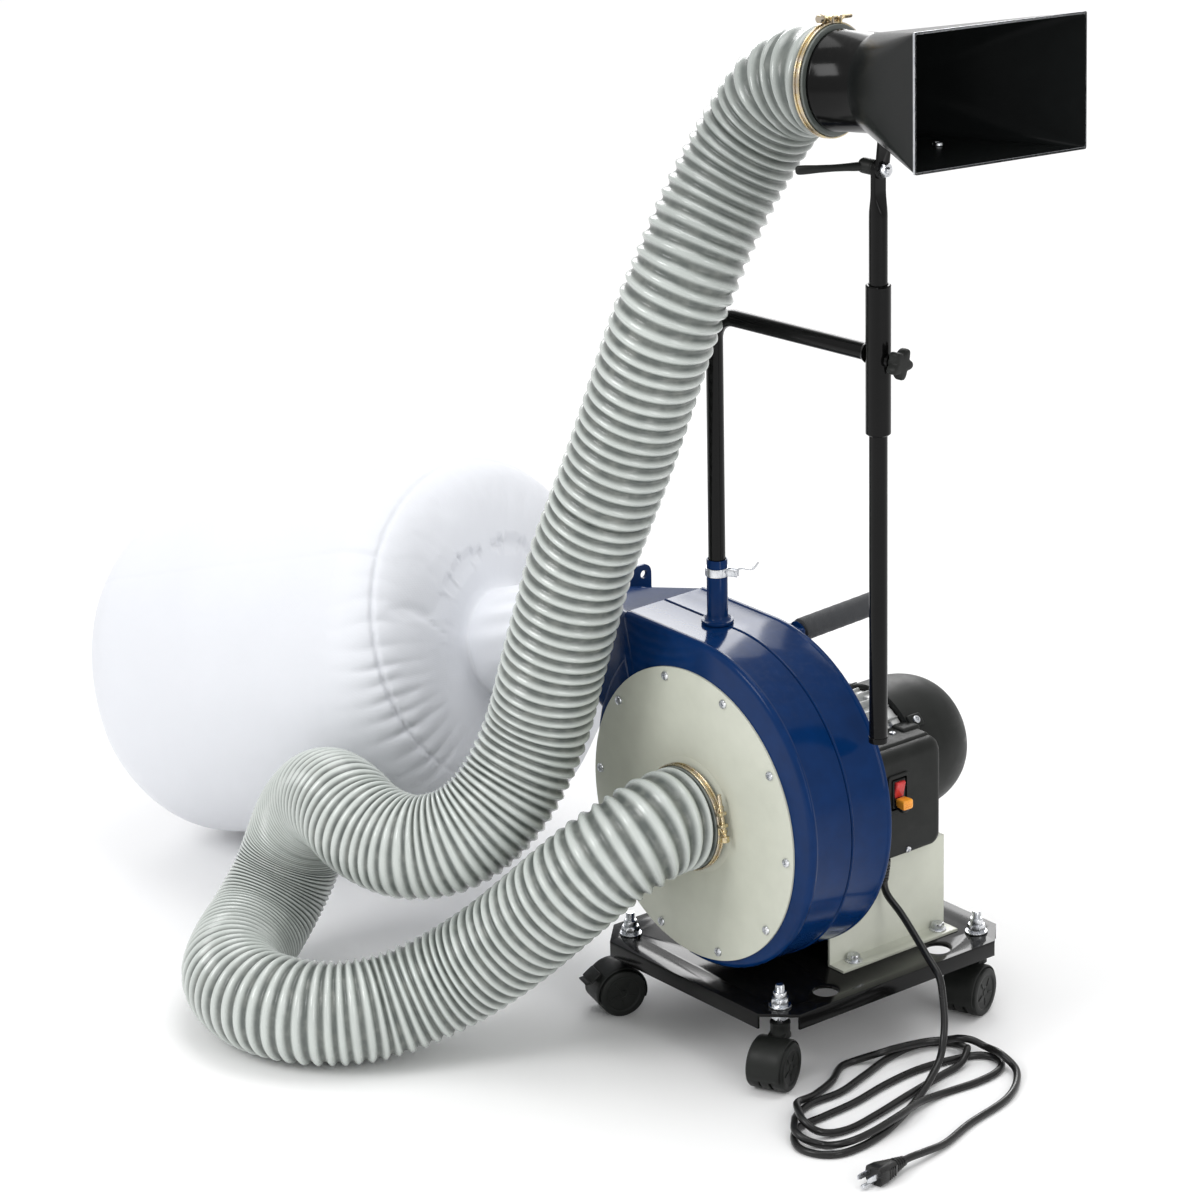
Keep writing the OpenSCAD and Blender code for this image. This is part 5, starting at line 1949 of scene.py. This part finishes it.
@dataclass
class Motor:
    """Finned motor with its fan cover, on a folded stand."""

    frame: dict[str, Any]
    fixings: Fixings
    flange_y: float = -0.0415
    body_y: float = -0.0335
    cover_y: float = 0.0985
    core: float = 0.064
    fins: int = 28
    cover: float = 0.075
    rounding: float = 0.038
    straight: float = 0.0355
    dome: float = 0.061

    def fin(self) -> Shape:
        """Return one fin, standing on the core along +X, its length along Z."""
        outline = [mm(-1, -2.0), mm(7, -1.2), mm(8.5, -0.7), mm(8.9, 0), mm(8.5, 0.7), mm(7, 1.2),
            mm(-1, 2.0)]
        return Shape().slab(outline, 0.004, 0.1285, HERE, 0.001)

    def build(self) -> None:
        """Make the flange, the body, the fan cover, the feet and the stand."""
        flange = Shape()
        face = fillet(scaled(((0, 0), (75, 0), (75, 5), (66, 8), (0, 8))), 0.0015)
        flange.lathe(face, PLACE.shaft(self.flange_y), 96)
        flange.piece("motor_face_ring", Finish.PLASTIC, "motor_flange")
        at = PLACE.shaft(self.body_y)
        body = Shape()
        core = fillet(scaled(((0, 0), (69, 0), (69, 3.5), (64.5, 5), (64, 12), (64, 110), (64.5, 118),
            (69, 119.5), (69, 131), (0, 131))), 0.0015)
        body.lathe(core, at, 96)
        ribs = self.fixings.set_round(self.fin(), Finish.ALUMINIUM, self.fins, self.core, at)
        body.copy(ribs)
        for s in (-1, 1):
            foot = shift(s * 42, 31.5, 0)
            body.block(mm(26, 68, 30), foot @ shift(0, 0, 213), 0.002)
            body.block(mm(28, 70, 6), foot @ shift(0, 0, 195.1), 0.0015)
        body.piece("finned_motor_body", Finish.ALUMINIUM, "motor_body")
        self.fan_cover()
        stand = dressed(self.frame, "motor_stand", 0.0012)
        stand.piece("folded_stand", Finish.CREAM, "motor_stand", crease=30.0)
        bolts = [mm(x, y, 89) for x in (-94, 94) for y in (-11.5, 109.5)]
        feet = self.fixings.set_at(self.fixings.hex_bolt(0.0122, 0.0062, 0.0092), bolts, [(0, 0, 1)] * 4,
            [0.2, 0.9, 0.5, 0.35])
        feet.piece("stand_bolts", Finish.ZINC)

    def fan_cover(self) -> None:
        """Make the domed fan cover with its sunk grille and its screws."""
        at = PLACE.shaft(self.cover_y)
        r, made = self.cover, Shape()
        line = [(0, 0), (r - 0.0016, 0), (r, 0.0012), (r, self.straight)]
        for k in range(1, 25):
            a = pi / 2 * k / 24
            line.append((r - self.rounding * (1 - cos(a)), self.straight + self.dome * sin(a) - 0.0001))
        end, flat = self.straight + self.dome, r - self.rounding
        line += [(flat - 0.002, end - 0.0003), (flat - 0.003, end - 0.004), (0, end - 0.004)]
        made.lathe(line, at, 144)
        grille = at @ Matrix.Translation((0, 0, end - 0.0025))
        for ring in (0.006, 0.013, 0.020, 0.027):
            made.lathe(fillet([(ring, -0.002), (ring + 0.002, -0.002), (ring + 0.002, 0.0012),
                (ring, 0.0012)], 0.0005), grille, 72)
        rib = Shape().block(mm(29, 1.8, 2.6), HERE, 0.0006)
        made.copy(self.fixings.set_round(rib, Finish.PLASTIC, 12, 0.0195, grille))
        places, aims = [], []
        for angle in (-42, 48, 138, 228):
            seat = at @ spin(angle)
            made.block(mm(5, 15, 19), seat @ shift(75, 0, 12), 0.0022, 3)
            places.append(seat @ mm(77.3, 0, 12.5))
            aims.append(seat.to_3x3() @ Vector((1, 0, 0)))
        made.piece("domed_fan_cover", Finish.PLASTIC, "motor_fan_cover", crease=32.0)
        heads = self.fixings.set_at(self.fixings.pan_head(0.0044), places, aims, [0.3, 0.9, 1.4, 0.6])
        heads.piece("fan_cover_screws", Finish.ZINC)


@dataclass
class SwitchBox:
    """Switch box on the motor's side, with a rocker and its safety key."""

    fixings: Fixings
    middle: Pair = (46.0, 268.0)
    face_x: float = 100.0

    def face(self, x: float) -> Matrix:
        """Return a frame on the box's face, +Z outwards (+X) and +Y up."""
        return shift(x, *self.middle) @ FACING_X

    def build(self) -> None:
        """Make the box, the bezel, the rocker and the key."""
        box = Shape()
        sections = ((58, 95, 122, 7, 0), (87, 95, 122, 9, 0), (92.5, 94.4, 121, 10, 0.3),
            (96.4, 92.4, 117.4, 11, 1.3), (98.8, 89, 112, 11, 2.3), (99.8, 84.6, 106.6, 10, 2.9),
            (100, 80, 101, 9, 3))
        lift = self.face(0) @ shift(61.5 - self.middle[0], 253.5 - self.middle[1], 0)
        box.loft([(oblong(w * MM, h * MM, c * MM, 7), lift @ shift(0, -down, x)) for x, w, h, c,
            down in sections])
        pocket = Shape().block(mm(22, 36, 20), self.face(self.face_x), 0.0015)
        made = cut(box, pocket)
        made.block(mm(40, 84, 15), shift(66, 63, 309.5), 0.0045, 4)
        made.block(mm(22, 26, 16), shift(58, 95, 312), 0.0045, 4)
        made.piece("switch_housing", Finish.PLASTIC, "switch_box", crease=30.0)
        bezel = Shape().slab(oblong(0.0300, 0.0440, 0.004, 6), -0.001, 0.0022, self.face(self.face_x),
            0.0008)
        window = Shape().slab(oblong(0.022, 0.036, 0.002, 4), -0.01, 0.01, self.face(self.face_x), 0.0001)
        cut(bezel, window).piece("switch_bezel", Finish.PLASTIC, crease=30.0)
        self.rocker()
        places = [mm(99.4, 61, 198.6), mm(62, 73, 316.8), mm(62, 32, 316.8)]
        heads = self.fixings.set_at(self.fixings.pan_head(0.0036), places,
            [(1, 0, -0.25), (0, 0, 1), (0, 0, 1)], [0.4, 1.0, 0.1])
        heads.piece("switch_box_screws", Finish.ZINC)

    def rocker(self) -> None:
        """Make the rocker on its pin, its red paddle, the orange key and the boot."""
        at = self.face(self.face_x - 5)
        base = Shape().block(mm(18, 32, 5.4), at @ shift(0, 0, 4.6), 0.0012)
        base.lathe(bar(1.95, -13, 13), at @ spin(90, "Y"), 24)
        base.lathe(fillet(scaled(((0, 6), (6.4, 6), (5.8, 17), (4.4, 19), (0, 19))), 0.001), at
            @ shift(0, -10.5, 0) @ spin(14, "X"), 36)
        base.piece("rocker_and_boot", Finish.PLASTIC, "switch_rocker", Body.SWITCH)
        sections = []
        for k in range(13):
            y = -5 + 19 * k / 12
            top = 9.6 - 2.0 * cos(pi * (y + 6) / 24)
            edge = 0.8 if k in (0, 12) else 0.0
            outline = [mm(-6.6 + edge, 6), mm(6.6 - edge, 6), mm(6.6 - edge, top - 1 - edge),
                mm(5.6 - edge, top - edge), mm(-5.6 + edge, top - edge), mm(-6.6 + edge, top - 1 - edge)]
            sections.append((outline, at @ shift(0, y, 0) @ spin(90, "X")))
        Shape().loft(sections).piece("red_paddle", Finish.RED, body=Body.SWITCH)
        key = Shape()
        place = at @ shift(0, -8.5, 0)
        levels = ((9, 12.2, 9.2), (10.5, 13, 10), (14, 13.4, 10.4), (20, 13.9, 10.9), (21.4, 13.2, 10.2),
            (22, 11, 8))
        key.loft([(oblong(w * MM, h * MM, 0.0022, 5), place @ shift(0, 0, z)) for z, w, h in levels])
        for y in (-2.4, 0, 2.4):
            key.block(mm(10, 0.9, 0.8), place @ shift(0, y, 22), 0.0003)
        key.piece("orange_safety_key", Finish.ORANGE, "safety_key", Body.SWITCH)


@dataclass
class Handle:
    """Pulling handle with a foam grip behind the housing."""

    fixings: Fixings
    x: float = 34.0
    z: float = 454.0
    foot_y: float = -41.5
    rise: float = 2.0
    grip: float = 0.104

    def build(self) -> None:
        """Make the foot, the bar and the grip."""
        along = shift(self.x, self.foot_y + 7, self.z) @ spin(self.rise - 90, "X")
        end = self.grip + 0.002
        rod = Shape()
        rod.block(mm(24, 6.8, 26), shift(self.x, self.foot_y + 3.5, self.z - 7), 0.0016)
        line = fillet([(0, -0.002), (0.0118, -0.002), (0.0088, 0.0012), (0.007, 0.0055),
            (0.007, end - 0.006), (0, end - 0.006)], 0.0015)
        rod.lathe(line, along, 40)
        rod.piece("handle_rod", Finish.NAVY, "handle_bar")
        grip = Shape()
        line = scaled(((6.8, 2.3), (10.8, 2.2), (12.1, 3.1), (12.5, 4.8)))
        for k in range(1, 24):
            z = 0.0048 + (end - 0.0074) * k / 24
            line.append((0.01245 - 0.00012 * sin(k * 1.9), z))
        line += [(0.0125, end - 0.0026), (0.0121, end - 0.0009), (0.0105, end), (0.0, end),
            (0.0, end - 0.0055), (0.0068, end - 0.0055)]
        grip.lathe(line, along, 56)
        grip.piece("foam_grip", Finish.FOAM, "handle_grip")
        places = [mm(self.x + s * 8.4, self.foot_y + 6.9, self.z - 15.5) for s in (-1, 1)]
        heads = self.fixings.set_at(self.fixings.pan_head(0.003), places, [(0, 1, 0)] * 2, [0.2, 0.8])
        heads.piece("handle_screws", Finish.ZINC)


# ---- boom


@dataclass
class Boom:
    """Swinging boom in its socket, with the sleeve that holds the post."""

    tube: float = 0.009
    socket: float = 0.011
    socket_z: float = 0.4647
    socket_l: float = 0.070
    bend: float = 0.028
    sleeve: float = 0.013
    sleeve_low: float = 0.719
    sleeve_high: float = 0.877
    knob_drop: float = 0.004
    clamp_z: float = 0.5167

    def build(self) -> None:
        """Make the socket with its clamp, the tube, the sleeve and the knob."""
        foot = Matrix.Translation((*PLACE.leg, self.socket_z))
        socket = [(0.0092, 0.0085), (0.0092, self.socket_l - 0.0006), (0.0098, self.socket_l),
            (0.0106, self.socket_l), (0.011, self.socket_l - 0.0006), (0.011, 0.0085), (0.0114, 0.006),
            (0.0126, 0.0040), (0.0142, 0.0031), (0.0168, 0.0028), (0.017, 0.0024), (0.017, 0.0),
            (0.0092, 0.0)]
        Shape().lathe(socket, foot, 56).piece("boom_post_socket", Finish.NAVY, "boom_socket")
        self.clamp()
        r, bend = self.tube, self.bend
        frame = PLACE.boom()
        low = self.socket_z + 0.0085
        path = [Vector((0, 0, low)), Vector((0, 0, low + 0.1)),
            Vector((0, 0, PLACE.crossbar_z - bend - 0.02))]
        for k in range(17):
            a = pi / 2 * k / 16
            path.append(Vector((bend - bend * cos(a), 0, PLACE.crossbar_z - bend + bend * sin(a))))
        path += [Vector((x, 0, PLACE.crossbar_z)) for x in (0.06, 0.12, PLACE.boom_reach - 0.0115)]
        radii = [r * (1.0 - 0.035 * sin(pi * max(0, min(1, (k - 3) / 16)))) for k in range(len(path))]
        Shape().tube([frame @ p for p in path], radii, 48).piece("bent_boom_tube", Finish.BLACK,
            "boom_tube", Body.BOOM)
        post = frame @ Matrix.Translation((PLACE.boom_reach, 0, 0))
        s = self.sleeve
        line = [(0.0097, self.sleeve_low + 0.0006), (0.0103, self.sleeve_low),
            (s - 0.0012, self.sleeve_low), (s, self.sleeve_low + 0.0012), (s, self.sleeve_high - 0.0012),
            (s - 0.0012, self.sleeve_high), (0.0103, self.sleeve_high), (0.0097, self.sleeve_high - 0.0006)]
        made = Shape().lathe(line, post, 56)
        weld = scaled(((8.8, 12.5), (11.2, 12.6), (10.4, 14.6), (9.2, 16.5), (8.8, 16.5)))
        made.lathe(weld, PLACE.crossbar() @ spin(-90, "Y"), 48)
        made.lathe(bar(6.6, 12.2, 15.4), PLACE.crossbar(self.knob_drop) @ spin(90, "Y"), 32)
        made.piece("sliding_sleeve", Finish.BLACK, "boom_sleeve", Body.BOOM)
        self.knob()

    def clamp(self) -> None:
        """Make the socket's quick clamp with its lever."""
        at = Matrix.Translation((*PLACE.leg, self.clamp_z))
        made = Shape()
        made.lathe(band(11.1, 12.5, 0, 9, 0.4), at, 64)
        turned = at @ spin(29.5)
        for y in (-2.6, 2.6):
            made.block(mm(12, 2.0, 8), turned @ shift(17.4, y, 4.5), 0.0008)
        made.lathe(bar(2.4, -6, 6), turned @ shift(19.5, 0, 4.5) @ spin(90, "X"), 28)
        lever = turned @ shift(20.5, 0, 5) @ spin(-30, "Y")
        sections = []
        for k in range(9):
            t = k / 8
            lift = 0.0030 * sin(2 * pi * t) - 0.0008
            outline = oblong((3.4 + 0.6 * t) * MM * 0.5, (5.4 + 3.0 * t - 3.2 * max(0, t - 0.85) / 0.15)
                * MM, 0.0006, 3)
            sections.append((outline, lever @ Matrix.Translation((0.028 * t, 0, lift)) @ spin(90, "Y")))
        made.loft(sections)
        made.piece("socket_quick_clamp", Finish.ZINC, "socket_clamp")

    def knob(self) -> None:
        """Make the lobed clamping knob."""
        at = PLACE.crossbar(self.knob_drop) @ spin(90, "Y")
        made = Shape()
        made.lathe(scaled(((0, 12.4), (4.5, 12.4), (4.5, 22), (7.5, 23.4), (7.5, 24), (0, 24))), at, 40)
        levels = ((21.6, 0.80), (22.4, 0.93), (24.5, 1.0), (30, 1.0), (32.2, 0.95), (33, 0.84), (33, 0.5))
        outline = polar(lambda a: 0.0139 + 0.0030 * cos(5 * a), 90)
        made.loft([([p * s for p in outline], at @ shift(0, 0, z)) for z, s in levels])
        made.piece("lobed_knob", Finish.PLASTIC, "sleeve_knob", Body.BOOM)


@dataclass
class Post:
    """Hood post with a flattened top, the pivot bolt and its ratchet lever."""

    radius: float = 0.0095
    low: float = 0.383
    flat_from: float = 0.948
    flat_length: float = 0.026

    def level(self, z: float) -> Matrix:
        """Return a frame on the post's axis at height z."""
        return PLACE.tilt() @ Matrix.Translation((0, 0, z - PLACE.pivot_z))

    def build(self) -> None:
        """Make the post, the bolt and the lever."""
        tilt = PLACE.tilt()
        r = self.radius
        at = self.level
        sections = [(oblong(2 * s, 2 * s, s, 11), at(z)) for s,
            z in ((r * 0.8, self.low), (r * 0.96, self.low + 0.0008), (r, self.low + 0.003),
            (r, self.low + 0.2), (r, 0.9), (r, self.flat_from))]
        for k in range(1, 9):
            t = k / 8
            ease = t * t * (3 - 2 * t)
            width = 2 * r + (0.0188 - 2 * r) * ease
            thick = 2 * r + (0.006 - 2 * r) * ease
            corner = r + (0.0012 - r) * ease
            sections.append((oblong(thick, width, corner, 11), at(self.flat_from + self.flat_length * t)))
        for k in range(9):
            a = pi / 2 * k / 8 * 0.96
            sections.append((oblong(0.006, max(0.002, 0.0182 * cos(a)), 0.0009, 11),
                at(PLACE.pivot_z + 0.009 * sin(a))))
        made = Shape().loft(sections)
        made.lathe(band(9.4, 10.1, 0, 6, 0.6), at(self.low + 0.001), 40)
        made.piece("flattened_hood_post", Finish.BLACK, "hood_post", Body.POST)
        axis = tilt @ spin(90, "Y")
        bolt = Shape().lathe(threaded(0.0038, -0.003, 0.0155, 0.00125), axis, 28)
        bolt.nut(0.013, 0.006, axis @ shift(0, 0, 6.6))
        bolt.piece("hood_pivot_bolt", Finish.ZINC, "pivot_bolt", Body.POST)
        lever = Shape()
        hub = fillet(scaled(((0, -21.2), (6.6, -21.2), (7.8, -19.5), (8, -17), (8, -6.5), (7, -4.5),
            (7, -3), (0, -3))), 0.0008)
        lever.lathe(hub, axis, 44)
        lever.lathe(bar(3.2, -22, -20.6), axis, 24)
        arm = tilt @ shift(-14, 0, 0) @ spin(-130) @ spin(90, "Y")
        grip = fillet(scaled(((0, 0), (4.6, 0), (4.6, 12), (4, 20), (3.6, 34), (4, 50), (4.8, 64),
            (4.6, 70), (3, 72), (0, 72))), 0.003)
        lever.lathe(grip, arm, 36)
        lever.piece("ratchet_clamp_lever", Finish.PLASTIC, "ratchet_lever", Body.POST)


# ---- hood


@dataclass
class Hood:
    """Flared sheet hood with its collar, on a tilting bracket."""

    frame: dict[str, Any]
    fixings: Fixings
    mouth: Pair = (0.277, 0.136)
    collar: float = 0.100
    sheet: float = 0.002
    flare: float = 0.152
    collar_l: float = 0.063
    bolts_x: Pair = (24.0, 70.0)

    def ring(self, x: float, share: float, inset: float) -> list[Vector]:
        """Return an outline of the flare, from its circle (0) to its mouth (1)."""
        d = self.collar - 2 * inset
        circle = oblong(d, d, d / 2, 16)
        mouth = oblong(self.mouth[0] - 2 * inset, self.mouth[1] - 2 * inset, 0.0025, 16)
        at = PLACE.hood() @ FACING_X
        return [at @ Vector((*a.lerp(b, share), x)) for a, b in zip(circle, mouth)]

    def build(self) -> None:
        """Make the flare with its rim, the collar, the bracket and the clamp."""
        t = self.sheet
        flare = Shape()
        shares = [k / 6 for k in range(7)]
        outer = [self.ring(-self.flare * (1 - s), s, 0.0) for s in shares]
        inner = [self.ring(-self.flare * (1 - s), s, t) for s in reversed(shares)]
        flare.skin(outer + inner + [outer[0]], caps=False)
        flare.piece("flared_hood", Finish.SHEET, "hood_flare", Body.HOOD, 24.0)
        # Painted highlight: a bare zinc strip along the mouth's edge stands in for the highlight on the
        # enamelled edge.
        rim = Shape()
        edge = [self.ring(-0.0024, 1.0, -0.0), self.ring(-0.0004, 1.0, -0.0), self.ring(0.0, 1.0, 0.0006),
            self.ring(0.0, 1.0, t - 0.0003), self.ring(-0.0004, 1.0, t + 0.0002),
            self.ring(-0.0024, 1.0, t + 0.0002)]
        rim.skin(edge + [edge[0]], caps=False)
        rim.piece("hood_rim", Finish.ZINC, body=Body.HOOD)
        back = PLACE.collar()
        r, l = self.collar / 2, self.collar_l
        line = [(r - t, 0.0006), (r - t + 0.0006, 0), (r - 0.0006, 0), (r, 0.0006), (r, 0.0125),
            (r + 0.0010, 0.0138), (r + 0.0010, 0.0162), (r, 0.0175), (r, l), (r - t, l)]
        Shape().lathe(line, back, 96).piece("hood_neck", Finish.BLACK, "hood_collar", Body.HOOD)
        bracket = dressed(self.frame, "hood_bracket", 0.0007)
        bracket.piece("tilting_bracket", Finish.BLACK, "hood_bracket", Body.HOOD, 30.0)
        HoseClamp("hood_wire_clamp", "hood_clamp", back, 180.0, Body.HOOD).build()
        self.bolts()

    def bolts(self) -> None:
        """Make the two bolts that hold the bracket under the hood."""
        tilt = PLACE.tilt(PLACE.hood_roll)
        up = tilt.to_3x3() @ Vector((0, 0, 1))
        places = [tilt @ mm(x, 0, 30.1) for x in self.bolts_x]
        low = self.fixings.set_at(self.fixings.hex_bolt(0.008, 0.005, 0.0062), places, [-up] * 2,
            [0.1, 0.7])
        floor = PLACE.hood().to_3x3() @ Vector((0, 0, 1))
        inside = []
        for x in self.bolts_x:
            local = PLACE.hood().inverted() @ (tilt @ mm(x, 0, 34))
            share = 1 + local.x / self.flare
            drop_z = -(self.collar / 2 + (self.mouth[1] / 2 - self.collar / 2) * share) + self.sheet
            inside.append(PLACE.hood() @ Vector((local.x, local.y, drop_z)))
        heads = self.fixings.set_at(self.fixings.pan_head(0.0055), inside, [floor] * 2, [0.5, 0.2])
        low.add(heads).piece("hood_bolts", Finish.ZINC, body=Body.HOOD)


# ---- assembly


def main() -> None:
    """Build the collector over its frame, sub-assembly by sub-assembly."""
    logging.basicConfig(level=logging.INFO, format="%(message)s")
    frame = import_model()
    studio = Studio()
    studio.camera()
    Hose().build()
    PowerCord().build()
    studio.build()
    fixings = Fixings()
    CasterBase(frame, fixings).build()
    Blower(frame, fixings).build()
    Outlet().build()
    FilterBag().build()
    Motor(frame, fixings).build()
    SwitchBox(fixings).build()
    Handle(fixings).build()
    Boom().build()
    Post().build()
    Hood(frame, fixings).build()


if __name__ == "__main__":
    main()
